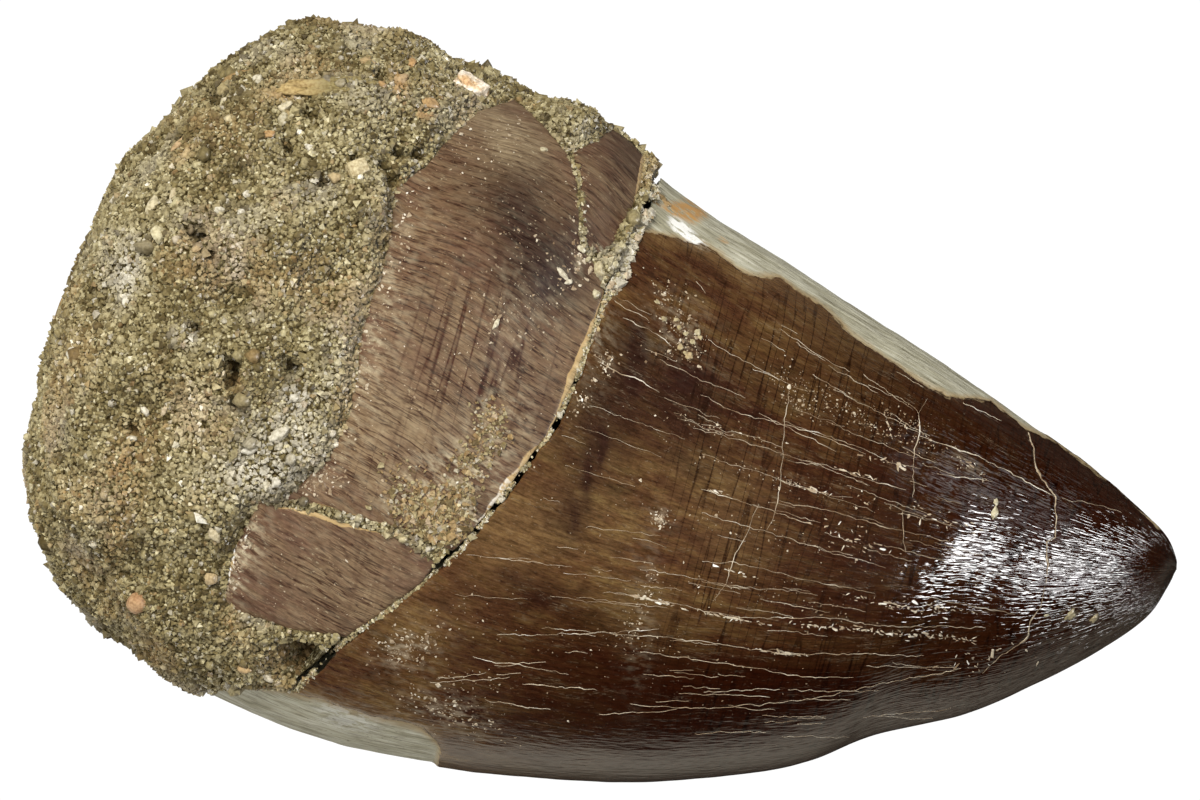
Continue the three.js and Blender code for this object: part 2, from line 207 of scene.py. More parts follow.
def break_station(angle, shift=0.0):
    """Station at which the break, moved by shift along x, crosses a line of constant angle."""
    low, high = np.full(angle.shape, 0.5), np.full(angle.shape, 1.6)
    for _ in range(30):
        middle = (low + high) / 2
        point = form(middle, angle)
        before = point[..., 0] < break_x(point[..., 1], np.sin(angle) >= 0) + shift
        low = np.where(before, middle, low)
        high = np.where(before, high, middle)
    return (low + high) / 2


def on_top(x, y):
    """Station and angle of the top of the form over the place x, y."""
    x, y = np.asarray(x, float), np.asarray(y, float)
    low, high = np.zeros(x.shape), np.full(x.shape, 2.0)
    for _ in range(40):
        middle = (low + high) / 2
        mx, my, half_x, half_y, _, _ = section(middle)
        behind = half_x * (y - my) - half_y * (x - mx) < 0
        low = np.where(behind, middle, low)
        high = np.where(behind, high, middle)
    mx, my, half_x, half_y, _, _ = section(low)
    share = ((x - mx) * half_x + (y - my) * half_y) / (half_x**2 + half_y**2)
    return low, np.arccos(np.clip(share, -0.999, 0.999))


def seat(x, y):
    """Points on top of the form over places seen from above, the way it faces, and the angle."""
    u, angle = on_top(x, y)
    return form(u, angle), form_normal(u, angle), angle


print("top over the origin:", round(float(seat(0.0, 0.0)[0][2]), 2), "mm high")

# %% [markdown]
# ## Natural unevenness
#
# Nothing on a fossil is even, so most of what follows is driven by noise: smooth random lumps
# that are the same each time the script runs. Blender's own noise takes one point per call.
# Written with numpy, the same idea treats a hundred thousand points in a blink.

# %% Noise, distances and patches


def lumps(points, size, seed):
    """Smooth noise in about -1 to 1; size is the width of a lump in mm, or three widths."""
    scaled = points / np.asarray(size, float) + 31.7 * seed
    cell = np.floor(scaled).astype(np.int64)
    part = scaled - cell
    part = part * part * (3 - 2 * part)
    total = np.zeros(points.shape[:-1])
    for corner in np.ndindex(2, 2, 2):
        n = cell + np.array(corner)
        n = n[..., 0] * 73856093 ^ n[..., 1] * 19349663 ^ n[..., 2] * 83492791 ^ seed * 2654435
        n = (n ^ (n >> 13)) * 1274126177
        n = (n ^ (n >> 16)) & 0xFFFF
        weight = np.prod(np.where(corner, part, 1 - part), axis=-1)
        total += weight * (n / 32767.5 - 1)
    return total


def rough(points, size, seed, octaves=3):
    """Lumps on lumps: each octave is half as wide and half as high as the one before."""
    size = np.asarray(size, float)
    return sum(lumps(points, size / 2**k, seed + k) / 2**k for k in range(octaves))


def flat(x, y):
    """Places seen from above as points, for the noise."""
    return np.stack([x, y, np.zeros_like(x)], -1)


def distance_to_line(x, y, line):
    """Distance in mm from a line of corners, seen from above."""
    nearest = np.full(np.shape(x), np.inf)
    for (ax, ay), (bx, by) in zip(line[:-1], line[1:]):
        span = max((bx - ax) ** 2 + (by - ay) ** 2, 1e-9)
        t = np.clip(((x - ax) * (bx - ax) + (y - ay) * (by - ay)) / span, 0, 1)
        nearest = np.minimum(nearest, np.hypot(x - ax - t * (bx - ax), y - ay - t * (by - ay)))
    return nearest


def distance_from(outline, x, y):
    """Distance from a closed outline, negative inside it."""
    inside = np.zeros(np.shape(x), bool)
    for (ax, ay), (bx, by) in zip(outline, outline[1:] + outline[:1]):
        if ay != by:
            inside ^= ((ay > y) != (by > y)) & (x < ax + (bx - ax) * (y - ay) / (by - ay))
    nearest = distance_to_line(x, y, outline + outline[:1])
    return np.where(inside, -nearest, nearest)


def patches(x, y, places):
    """Soft patches, each (x, y, half length, half width, heading in degrees, strength)."""
    total = np.zeros(np.shape(x))
    for px, py, long, wide, heading, strength in places:
        c, s = math.cos(math.radians(heading)), math.sin(math.radians(heading))
        ahead = ((x - px) * c + (y - py) * s) / long
        aside = (-(x - px) * s + (y - py) * c) / wide
        total += strength * np.exp(-(ahead**2) - aside**2)
    return total


print("noise at the origin:", round(float(rough(np.zeros(3), 1.0, 3)), 3))

# %% [markdown]
# ## From arrays to a Blender mesh
#
# Each piece below ends as arrays of points and faces. One helper turns them into a mesh that
# rides on the frame, carries a material, and stands for its solid. Measurements that
# the material needs later, such as the distance to a broken edge, go along as attributes: one
# number for each point of the mesh.

# %% Make a piece


def grid_faces(rows, columns, closed):
    """Four-cornered faces of a grid; a closed grid joins its last column to its first."""
    row = np.arange(rows - 1)[:, None] * columns
    column = np.arange(columns if closed else columns - 1)[None, :]
    after = (column + 1) % columns
    corners = [row + column, row + after, row + columns + after, row + columns + column]
    return np.stack(corners, -1).reshape(-1, 4)


def fan(centre, ring, outwards):
    """Triangles from one point to a closed ring of points."""
    after = np.roll(ring, -1)
    pair = (ring, after) if outwards else (after, ring)
    return np.stack([np.full(len(ring), centre), *pair], -1)


def tube(rings, first, last):
    """One grid round rings of points, closed by a point at its first end and one at its last."""
    points = np.array(rings)
    rows, columns = points.shape[:2]
    points = points.reshape(-1, 3)
    count, ring = len(points), np.arange(columns)
    faces = [
        grid_faces(rows, columns, True), fan(count, ring, False),
        fan(count + 1, ring + (rows - 1) * columns, True),
    ]
    return np.vstack([points, first, last]), faces


def angles_round(above, below):
    """Angles round a section, with more columns on the upper side, where the eye goes."""
    sides = (0, np.pi, above), (np.pi, 2 * np.pi, below)
    return np.concatenate([np.linspace(*side, endpoint=False) for side in sides])


def make_piece(name, points, faces, material, measures=None, stands_for=()):
    """A mesh object from points in mm and a list of face arrays."""
    mesh = bpy.data.meshes.new(name)
    mesh.vertices.add(len(points))
    mesh.vertices.foreach_set("co", (points * MM).astype(np.float32).ravel())
    corners = np.concatenate([group.ravel() for group in faces])
    sizes = np.concatenate([np.full(len(group), group.shape[1]) for group in faces])
    mesh.loops.add(len(corners))
    mesh.loops.foreach_set("vertex_index", corners.astype(np.int32))
    mesh.polygons.add(len(sizes))
    starts = np.concatenate([[0], np.cumsum(sizes)[:-1]])
    mesh.polygons.foreach_set("loop_start", starts.astype(np.int32))
    mesh.update(calc_edges=True)
    for measure, values in (measures or {}).items():
        kind, key = ("FLOAT_VECTOR", "vector") if values.ndim == 2 else ("FLOAT", "value")
        layer = mesh.attributes.new(measure, kind, "POINT")
        layer.data.foreach_set(key, values.astype(np.float32).ravel())
    mesh.materials.append(material)
    piece = bpy.data.objects.new(name, mesh)
    bpy.context.scene.collection.objects.link(piece)
    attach(piece, "root")
    for node in stands_for:
        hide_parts(node)
    print(f"{name}: {int((sizes - 2).sum())} triangles")
    return piece


# %% [markdown]
# ## Colours and material nodes
#
# Colours are written the way a paint chart gives them, as sRGB hex. Blender mixes light in
# linear numbers, so one function converts them. A second one adds a shader node with its
# settings and its inputs, where an input is a value or the output of another node. A third lays
# colours over one another, as a painter glazes a model: most surfaces here are such a stack.

# %% Colour and node helpers


def tint(code):
    """sRGB hex as the linear colour that a shader takes."""
    parts = [int(code[i : i + 2], 16) / 255 for i in (1, 3, 5)]
    linear = [p / 12.92 if p <= 0.04045 else ((p + 0.055) / 1.055) ** 2.4 for p in parts]
    return (*linear, 1.0)


def add_node(tree, kind, inputs=(), output=0, stops=(), **settings):
    """The output of a new node. Each input is a value or an output; stops fill a colour ramp."""
    node = tree.nodes.new("ShaderNode" + kind)
    for key, value in settings.items():
        setattr(node, key, value)
    while stops and len(node.color_ramp.elements) < len(stops):
        node.color_ramp.elements.new(0.5)
    for number, (place, code) in enumerate(stops):
        element = node.color_ramp.elements[number]
        element.position, element.color = place, tint(code)
    named = inputs.items() if isinstance(inputs, dict) else enumerate(inputs)
    for socket, value in named:
        if isinstance(value, bpy.types.NodeSocket):
            tree.links.new(value, node.inputs[socket])
        else:
            node.inputs[socket].default_value = value
    return node.outputs[output] if node.outputs else None


def new_material(name):
    """A material without nodes, and the function that adds a node to it."""
    material = bpy.data.materials.new(name)
    material.use_nodes = True
    material.node_tree.nodes.clear()
    return material, partial(add_node, material.node_tree)


# Sockets of a Mix node that mixes colours.
SHARE, FIRST, SECOND, MIXED = 0, 6, 7, 2


def painted(add, ground, layers):
    """A colour with layers over it. Each is (share, paint, way): MULTIPLY only darkens.

    A paint is a hex code, the output of a node, or a value with the stops of a colour ramp.
    """
    def colour_of(paint):
        if isinstance(paint, tuple):
            return add("ValToRGB", paint[:1], stops=paint[1])
        return tint(paint) if isinstance(paint, str) else paint

    colour = colour_of(ground)
    for share, paint, way in layers:
        inputs = {SHARE: share, FIRST: colour, SECOND: colour_of(paint)}
        colour = add("Mix", inputs, MIXED, data_type="RGBA", blend_type=way)
    return colour


def finish_surface(add, inputs):
    """The surface shader with these inputs, and the output of the material."""
    add("OutputMaterial", [add("BsdfPrincipled", inputs)])


print("brown enamel in linear light:", [round(v, 3) for v in tint("#5a422c")])

# %% [markdown]
# ## Fossil enamel
#
# Tooth enamel is apatite, a glassy mineral. Seventy million years in iron-rich sand have stained
# it brown, and it has the IOR of apatite, 1.63. It grew in fine striae that run along the
# tooth, so its colour and its relief are noise that is stretched lengthways: the striae are a
# tenth of a millimetre across and ten times as long. That takes coordinates that run with the
# tooth. The mesh carries them as an attribute, grain: millimetres along the tooth, and the place
# round it.
#
# The same function makes the crown's enamel, dark and polished towards the tip, and the matte
# enamel of the plates. Where enamel is missing, the dentine under it shows: pale, dense and
# silky. The mesh tells how far each point lies inside such a bare place.
#
# Every pattern is one noise with its own two widths, along the tooth and round it, so they are
# listed in one table and made in one loop. The colours that lie over one another are a list too.

# %% Enamel patterns: widths in mm along and round the tooth, detail and roughness of the noise
APATITE_IOR = 1.63
WRINKLE_HEIGHT, SCRATCH_HEIGHT = 0.052, 0.008
WRINKLE_WARP = 0.35  # the wrinkles waver by this share of their width
PATTERNS = {
    "slow": (6.0, 3.5, 5.0, 0.55),  # change of tone over the whole tooth
    "bands": (2.2, 0.7, 6.0, 0.7),  # purple and olive stains that follow the growth
    "mottle": (0.6, 0.3, 5.0, 0.7),  # small stains
    "striae": (1.3, 0.11, 4.0, 0.7),  # growth lines; real ones are finer than can show
    "fine": (0.32, 0.08, 4.0, 0.7),  # scratches and pores
    "crossing": (0.45, 9.0, 1.0, 0.5),  # its middle value makes the dark lines across
    "lengthways": (3.0, 0.25, 3.0, 0.6),  # its middle value makes reddish lines along
    "hairs": (6.0, 0.8, 5.0, 0.62),  # its middle value makes pale hair cracks, partly painted glints
    "flecks": (0.22, 0.1, 3.0, 0.6),  # pale flecks, partly mineral and partly painted glints
    "film": (0.6, 0.28, 6.0, 0.62),  # broken film of dust
    "ridges": (0.75, 0.2, 1.0, 0.5),  # wrinkles that break up the shine of the polished tip
    "ragged": (0.35, 0.35, 4.0, 0.55),  # broken bound of the enamel
    "pale": (2.4, 0.4, 7.0, 0.65),  # cloudy dentine
}

# %% Enamel material


def enamel(name, look):
    """The enamel of one look, with bare dentine, stains and dust where the mesh has them."""
    material, add = new_material(name)
    grain = add("Attribute", output="Vector", attribute_name="grain")
    bare, stain, tan, dark, dust, gloss, lines = (
        add("Attribute", output="Fac", attribute_name=key)
        for key in ("bare", "stain", "tan", "dark", "dust", "gloss", "lines")
    )
    pattern = {}
    for key, (along, across, detail, roughness) in PATTERNS.items():
        scale = (1 / along, 1 / across, 1 / across)
        inputs = {
            0: add("Mapping", {0: grain, "Scale": scale}), "Scale": 1, "Detail": detail,
            "Roughness": roughness, "Distortion": WRINKLE_WARP if key == "ridges" else 0,
        }
        pattern[key] = add("TexNoise", inputs)

    def line(key, half, strength):
        """Thin lines where a pattern has its middle value; half is their half width in value."""
        off_middle = add("Math", [pattern[key], 0.5], operation="SUBTRACT")
        off_middle = add("Math", [off_middle], operation="ABSOLUTE")
        share = add("MapRange", [off_middle, 0, half, 1, 0])
        return add("Math", [share, strength], operation="MULTIPLY")

    # Dark lines across the tooth and reddish ones along it, which come and go.
    patchy = add("MapRange", [pattern["slow"], 0.38, 0.56, 0.5, 1])
    crossing, along = (
        line(key, half, add("Math", [patchy, strength], operation="MULTIPLY"))
        for key, half, strength in (
            ("crossing", look["weave"], lines), ("lengthways", 0.035, look["lengthways"]),
        )
    )
    # Pale flecks and hair cracks, partly mineral and partly painted glints, and dust in a broken
    # film where the mesh says dust.
    here = add("MapRange", [pattern["bands"], 0.46, 0.6, 0, look["hairs"]])
    fleck = add("MapRange", [pattern["flecks"], 0.64, 0.72, 0, look["flecks"]])
    film = add("MapRange", [pattern["film"], 0.47, 0.68])
    pale = add("Math", [film, dust], operation="MULTIPLY")
    for other in (fleck, line("hairs", 0.007, here)):
        pale = add("Math", [pale, other], operation="MAXIMUM")
    # Slow change, stained bands, the stains that belong to a place, then fine texture.
    colour = painted(add, (pattern["slow"], look["tones"]), [
        (0.55, (pattern["bands"], look["bands"]), "MIX"),
        (tan, look["tan"], "MIX"),
        (stain, look["stain"], "MIX"),
        (dark, look["dark"], "MIX"),
        (0.3, (pattern["mottle"], look["mottle"]), "MULTIPLY"),
        (0.5, (pattern["striae"], [(0.34, look["striae"]), (0.56, "#ffffff")]), "MULTIPLY"),
        (look["grit"], (pattern["fine"], [(0.38, "#6b584c"), (0.55, "#ffffff")]), "MULTIPLY"),
        (crossing, look["crossing"], "MULTIPLY"),
        (along, "#704234", "MULTIPLY"),
        (pale, look["dust"], "MIX"),
    ])

    # Bare dentine with a crisp, slightly ragged bound, browner beside the enamel and pored.
    # Iron has stained it where the mesh says stain, and it is bleached where it says dust.
    ragged = add("Math", [pattern["ragged"], 0.24, bare], operation="MULTIPLY_ADD")
    is_bare = add("MapRange", [ragged, 0.1, 0.16])
    cloudy = add("MapRange", [pattern["film"], 0.42, 0.5, 0.35, 1.4])
    rusty, bleached = (
        add("MapRange", [add("Math", [mask, cloudy], operation="MULTIPLY"), 0.25, 0.75])
        for mask in (stain, dust)
    )
    dentine = painted(add, (pattern["pale"], look["dentine"]), [
        (0.7, (pattern["striae"], [(0.35, "#857b66"), (0.55, "#ffffff")]), "MULTIPLY"),
        (add("MapRange", [ragged, 0.16, 0.42, 0.7, 0]), look["rim"], "MIX"),
        (rusty, look["iron"], "MIX"),
        (bleached, "#dcdad2", "MIX"),
        (add("MapRange", [pattern["flecks"], 0.3, 0.37, 0.75, 0]), "#6e6350", "MULTIPLY"),
    ])
    # Satin where worn, glassy where polished, silky on dentine and dull under dust.
    rub = add("MapRange", [gloss, 0, 1, look["satin"], look["glassy"]])
    for dulled, amount in ((pale, 0.35), (is_bare, 0.4)):
        rub = add("Math", [dulled, amount, rub], operation="MULTIPLY_ADD")
    # Relief: wrinkles, strongest where it is polished, then scratches where it isn't.
    wrinkles = add("Bump", {
        "Strength": add("MapRange", [gloss, 0.1, 0.9, 0.6, 1]), "Height": pattern["ridges"],
        "Distance": WRINKLE_HEIGHT * MM,
    })
    relief = add("Bump", {
        "Strength": add("MapRange", [gloss, 0.1, 0.7, 0.3, 0]), "Height": pattern["fine"],
        "Distance": SCRATCH_HEIGHT * MM, "Normal": wrinkles,
    })
    finish_surface(add, {
        "Base Color": painted(add, colour, [(is_bare, dentine, "MIX")]), "Roughness": rub,
        "Normal": relief, "IOR": APATITE_IOR, "Specular IOR Level": look["shine"],
    })
    return material


crown_enamel = enamel(
    "crown_enamel",
    {
        "tones": [(0.32, "#3f2613"), (0.44, "#51351c"), (0.54, "#624826"), (0.68, "#766138")],
        "bands": [(0.36, "#2b1711"), (0.45, "#4a2c1f"), (0.53, "#62462a"), (0.66, "#78613a")],
        "mottle": [(0.36, "#7b5a4c"), (0.47, "#d9cabb"), (0.56, "#ffffff")],
        "tan": "#7a603c",
        "stain": "#281411",
        "dark": "#290d03",
        "iron": "#a67c42",
        "rim": "#94794b",
        "striae": "#7d6250",
        "crossing": "#633c2a",
        "weave": 0.03,
        "lengthways": 0.3,
        "grit": 0.4,
        "hairs": 0.2,
        "flecks": 0.15,
        "dust": "#a89a80",
        "dentine": [(0.3, "#79745c"), (0.42, "#979279"), (0.55, "#aaa690"), (0.75, "#c4c0ad")],
        "satin": 0.2,
        "glassy": 0.1,
        "shine": 0.42,
    },
)
plate_enamel = enamel(
    "plate_enamel",
    {
        "tones": [(0.32, "#594230"), (0.44, "#674c38"), (0.54, "#715b41"), (0.68, "#806a4d")],
        "bands": [(0.36, "#4d3629"), (0.45, "#664a38"), (0.53, "#745d44"), (0.66, "#867155")],
        "mottle": [(0.36, "#8f6f5e"), (0.47, "#e2d8cd"), (0.56, "#ffffff")],
        "tan": "#968566",
        "stain": "#2f1e18",
        "dark": "#4a382b",
        "iron": "#b08c58",
        "rim": "#a5885a",
        "striae": "#9a8371",
        "crossing": "#8a4a34",
        "weave": 0.06,
        "lengthways": 1.0,
        "grit": 0.35,
        "hairs": 0.15,
        # Many pale flecks and hair cracks: painted glints on the plates, as well as mineral flecks.
        "flecks": 0.45,
        "dust": "#b5a888",
        "dentine": [(0.3, "#8a7450"), (0.45, "#a18a62"), (0.6, "#b39f78"), (0.75, "#cdbf9c")],
        "satin": 0.5,
        "glassy": 0.4,
        "shine": 0.35,
    },
)
print("materials:", crown_enamel.name, plate_enamel.name)

# %% [markdown]
# ## The crown
#
# The crown is a grid wrapped round the form: columns round the section, rows from the break to
# the tip. The upper side gets more of the columns, because that is where the eye goes. The
# enamel is then carved by moving each point along its normal: it is missing over the worn
# strip at the upper edge and over the bare dentine by the break, and it has low swellings and
# growth lines. The wrinkles that break up the shine near the tip are relief in its material.

# %% Where the crown's enamel is worn and stained
STRIP_LINE = [
    (-2, 10.5), (1.6, 10.6), (4, 9.8), (5.6, 10), (8.3, 9), (10.1, 8), (14.7, 6.6), (16.9, 7),
    (18.8, 6.1), (20.6, 5.85), (22.6, 5.05), (24.6, 4.15), (26.2, 3.2),
]
FLAKE_LINE = [(-17, -15.3), (-11.5, -15), (-5.3, -15.1), (-4.4, -15.6), (-3.6, -17)]
STRIP_END, FLAKE_END = 26.5, -4.2  # x where the two bare places end
LEDGE_DEPTH, LEDGE_RUN = 0.2, 0.2  # the step down from the enamel to the dentine
LEDGE_BELOW = 0.5  # both places are this much narrower where the form turns under
TIP_CRACK = [
    (18.9, 6), (19.4, 5.4), (19.8, 4.3), (20.9, 3.4), (21.5, 1.5), (21.1, 1.2), (21.5, 0.1),
    (21.7, -1.9), (21.3, -2.7), (21.5, -3.3), (21.1, -3.9), (20.4, -4.6), (19.8, -5.7),
]
TIP_CRACK_DEPTH = 0.05
POLISH = (13.5, 15.0)  # the polish starts between these x
SMOOTH_TIP = (26.6, 27.4)  # between these the relief fades, so that the tip closes evenly
ROUND = 12.0  # radius in mm of the cylinder that the grain coordinates are measured on
# Purple stains, worn tan places and dust: x, y, half length, half width, heading, strength.
CROWN_STAINS = [
    (2.5, 3.4, 3.6, 3, 0, 0.85), (-1.2, 1.2, 1.6, 3.4, 0, 0.6), (-0.9, -1.6, 1.7, 0.3, 105, 0.5),
    (-1.8, -3.3, 1.2, 1.6, -15, 0.25), (6.8, -10.6, 4, 1.4, 12, 0.25),
    (-4.5, -11, 2.2, 1.2, 30, 0.3), (-0.6, -0.2, 0.8, 0.3, 105, 0.6), (0, 5.6, 0.8, 0.4, 105, 0.5),
    (0, 4.2, 0.9, 0.4, 105, 0.5), (-1.1, -3.9, 1.1, 0.4, 105, 0.6), (-1.3, -7.6, 1.6, 0.6, 5, 0.8),
    (-3, -7, 1.2, 0.4, 5, 0.6), (-0.6, 5.6, 1.6, 1.2, 0, 0.4), (0.8, 8.6, 2.2, 1, -10, 0.3),
    (0.3, 11.9, 0.9, 0.5, -10, 0.9), (2.4, 11, 0.4, 0.3, 0, 0.5), (1.2, 12.3, 0.7, 0.25, -10, 0.6),
]
CROWN_TANS = [
    (-3.4, -5, 3, 2.2, 40, 0.55), (6.8, -1.6, 2.4, 2.2, 0, 0.4), (10, 7, 5, 1.2, -20, 0.35),
    (-7, -10.4, 2, 1.2, 40, 0.4),
]
CROWN_DUST = [
    (1.5, 6.4, 1.3, 1.6, 60, 0.35), (3, -2.4, 0.6, 0.5, 0, 0.4), (3.3, -7, 0.7, 3.6, 10, 0.25),
    (-7, -11.5, 1.6, 1.2, 30, 0.5), (-4.3, -14, 2.2, 0.9, 0, 0.5), (23.1, -1.9, 0.4, 0.3, 35, 0.9),
    (24.3, -1.75, 0.25, 0.2, 0, 0.8), (16.4, 3.8, 0.8, 0.4, -10, 0.35),
    (-9, -15.5, 3, 1.2, -5, 0.3), (0.4, 11.1, 0.8, 0.35, -25, 0.9),
    (1.5, 10.6, 0.5, 0.25, -25, 0.7), (-2, 5, 0.8, 2.4, 10, 0.35),
]


def grain_of(points, angle):
    """Coordinates that run with the tooth: mm along it, and the place round it."""
    return np.stack([points[..., 0], ROUND * np.cos(angle), ROUND * np.sin(angle)], -1)


def bare_depth(points, normals):
    """How far a point lies inside the places where the enamel is missing, in mm."""
    x, y = points[..., 0], points[..., 1]
    margin = LEDGE_BELOW * ease(-normals[..., 2], 0, 0.4) + 0.1 * rough(points, 0.9, 11)
    strip = y - np.interp(x, *np.array(STRIP_LINE).T) - margin
    strip = np.minimum(strip, (STRIP_END - x) * 0.12)
    flake = np.interp(x, *np.array(FLAKE_LINE).T) - y - margin
    flake = np.minimum(flake, FLAKE_END - x)
    return np.maximum(strip, flake)


def crown_rise(points, normals, angle):
    """How far the crown's surface stands off its smooth form, in mm."""
    grain = grain_of(points, angle)
    bare = bare_depth(points, normals)
    rise = -LEDGE_DEPTH * ease(bare, 0, LEDGE_RUN)
    rise += 0.06 * lumps(points, 5.0, 1) + 0.02 * lumps(points, 1.6, 2)
    rise += 0.012 * lumps(grain, (0.8, 6, 6), 3)
    enamelled = 1 - ease(bare, -0.1, 0.1)
    glossy = ease(points[..., 0], *POLISH)
    net = 1 - np.abs(rough(grain, (2.2, 0.55, 0.55), 4, 2)) * 1.6
    rise += enamelled * blend(0.01, 0.008, glossy) * net
    rise += (1 - enamelled) * 0.03 * rough(grain, (1.6, 0.5, 0.5), 5)
    crack = distance_to_line(points[..., 0], points[..., 1], TIP_CRACK)
    rise -= TIP_CRACK_DEPTH * (1 - ease(crack, 0.02, 0.1)) * (normals[..., 2] > 0)
    return rise * (1 - 0.9 * ease(points[..., 0], *SMOOTH_TIP))


def crown_over(x, y, height):
    """The crown's surface over places seen from above, and a height over it."""
    points, normals, angle = seat(x, y)
    return lifted(points, normals, crown_rise(points, normals, angle) + height)


print("strip is bare over", STRIP_LINE[-1][0] - STRIP_LINE[0][0], "mm of the upper edge")

# %% Build the crown
CROWN_ROWS, FACE_RINGS = 206, 14
CROWN_COLUMNS = 240, 96  # on the upper side, and on the under side
crown_angles = angles_round(*CROWN_COLUMNS)
# The broken rim is ragged: it wanders a tenth of a millimetre to either side.
rim_start = break_station(crown_angles)
rim_places = form(rim_start, crown_angles)
rim_start += 0.004 * rough(rim_places, 0.7, 21) + 0.003 * lumps(rim_places, 2.5, 22)

share = np.linspace(0, 1, CROWN_ROWS + 1)[:-1, None]
u = rim_start + (2 - rim_start) * share
angle = np.broadcast_to(crown_angles, u.shape)
smooth, skin_normals = form(u, angle), form_normal(u, angle)
skin = lifted(smooth, skin_normals, crown_rise(smooth, skin_normals, angle))

# The broken face closes in on its heart in rings, rough with steps.
face_rings = []
for inward in np.linspace(0.03, 0.94, FACE_RINGS)[::-1]:
    ring = blend(skin[0], BREAK_HEART, inward)
    ring[:, 0] += (0.35 * np.sin(5 * crown_angles + 9 * inward) + 0.25) * (1 - inward)
    ring[:, 0] += 0.18 * rough(ring, 1.4, 23) * min(1, 8 * inward) - 0.25 * (1 - inward)
    face_rings.append(ring)
tip_point = skin[-1].mean(axis=0, keepdims=True) + [[0.05, 0, 0]]
crown_points, crown_faces = tube([*face_rings, *skin], BREAK_HEART[None], tip_point)

# %% Measure the crown for its material
all_angles = np.concatenate([np.tile(crown_angles, FACE_RINGS + CROWN_ROWS), [0, 0]])
x, y = crown_points[:, 0], crown_points[:, 1]
in_face = np.arange(len(crown_points)) < FACE_RINGS * len(crown_angles)
normals = np.zeros(crown_points.shape)
normals[in_face] = (-1, 0, 0)
normals[~in_face] = np.vstack([skin_normals.reshape(-1, 3), [[-1, 0, 0], [1, 0, 0]]])
upside = normals[:, 2] > 0
warp = 0.35 * lumps(crown_points, 1.3, 31)
crown_bare = np.where(in_face, 1, bare_depth(crown_points, normals))
# The enamel is darker along its lower edge and, in two steps, towards the tip.
below_dark = ease(-y - 4.5 - 0.1 * x, 0, 5.5) * ease(x, -7, 2) * 0.85
to_tip = 0.8 * ease(x + 0.4 * warp, 2, 14) + 0.17 * ease(x, 14, 21)
near_bare = ease(crown_bare, -0.9, -0.1) * (1 - ease(x, 8, 18))
crown_measures = {
    "grain": grain_of(crown_points, all_angles),
    "bare": crown_bare,
    "stain": np.clip(patches(x + warp, y + warp, CROWN_STAINS) * upside, 0, 0.9),
    "tan": np.clip((patches(x + warp, y + warp, CROWN_TANS) + 0.4 * near_bare) * upside, 0, 0.8),
    "dark": np.clip(to_tip + below_dark, 0, 0.97),
    "dust": np.clip(patches(x, y, CROWN_DUST) * upside, 0, 1),
    "gloss": 0.25 * ease(x, -2, 12) + 0.75 * ease(x + 2.2 * warp, 13.2, 15.2),
    "lines": 0.1 + 0.75 * ease(x + 0.3 * y, 0.5, 5.0),
}
make_piece(
    "crown_skin", crown_points, crown_faces, crown_enamel, crown_measures, ["crown"]
)

# %% [markdown]
# ## The plates
#
# Left of the break the tooth wall survives as three plates: shell-like pieces, 1.9 mm thick,
# that are bedded in the stone. Each is made from its outline as seen from above. The outline is
# cut into many short steps and made a little ragged, rings of points close in from it to a
# middle, and every point is lifted on to the form. A second set of rings under the first gives
# the plate its thickness, and the rows between them its broken edge.

# %% Build a plate
PLATE_THICKNESS = 1.9
PLATE_STRETCH = (0.8, 1, 1)  # the patterns on the plates are longer than on the crown
HIDDEN, BROKEN = -1.0, -0.5  # marks of the rings that lie under a plate or in its broken edge
BASE_PLATE = [
    (-8.9, 15.2), (-7.5, 14.4), (-5.75, 13.2), (-5, 12.1), (-4.45, 10.5), (-3.85, 9), (-3, 8.4),
    (-2.4, 7.2), (-2.4, 5.1), (-2.67, 2.6), (-3.22, -0.1), (-4.37, -2.9), (-5.55, -5.5),
    (-6.1, -6.5), (-8.9, -6.15), (-12.9, -6), (-14.4, -6.2), (-12.9, -3.8), (-12.5, -1.8),
    (-12.6, 0.2), (-13, 2.5), (-12.8, 5.1), (-12.9, 7.5), (-13.2, 9.4), (-12, 11), (-11.4, 12.4),
    (-10.4, 14.1),
]
UPPER_SHARD = [
    (-5.5, 13.3), (-4.5, 14.3), (-3.8, 15.4), (-2.3, 15.4), (-2, 12.8), (-2.1, 11.4), (-2.45, 9.6),
    (-3.1, 8.85), (-3.78, 9.1), (-4.38, 10.6), (-4.93, 12.2),
]
LOWER_SHARD = [
    (-15.6, -6.6), (-12.9, -6.4), (-8.8, -6.55), (-6.75, -7.2), (-7.05, -8.2), (-8.35, -9.95),
    (-9.95, -11.75), (-12.3, -12.1), (-15.3, -11.9), (-16, -11.5), (-16.2, -9.4),
]
PLATES = [BASE_PLATE, UPPER_SHARD, LOWER_SHARD]
PLATE_STAINS = [
    (-7.2, 9.8, 3.1, 2.3, -30, 0.85), (-4.9, 7, 2.2, 1.8, 0, 0.75), (-6.4, 2.6, 3, 1, 0, 0.15),
    (-2.6, 11.5, 1.3, 2.6, 0, 0.25), (-3, 13.6, 1.2, 1, 0, 0.3), (-10.5, 4.5, 1.6, 2, 0, 0.2),
    (-3.8, 1, 1, 1.6, 0, 0.3), (-5, -4, 1.4, 0.7, -30, 0.35),
]
PLATE_TANS = [
    (-9.4, 13.2, 2.4, 1, -20, 0.7), (-10.8, -1, 1.4, 3, 0, 0.4), (-7.6, -1, 2.4, 1.2, 0, 0.3),
    (-9.5, -9.4, 4, 1.8, 0, 0.2), (-7.8, 12.2, 1.5, 1.5, 0, 0.4),
]
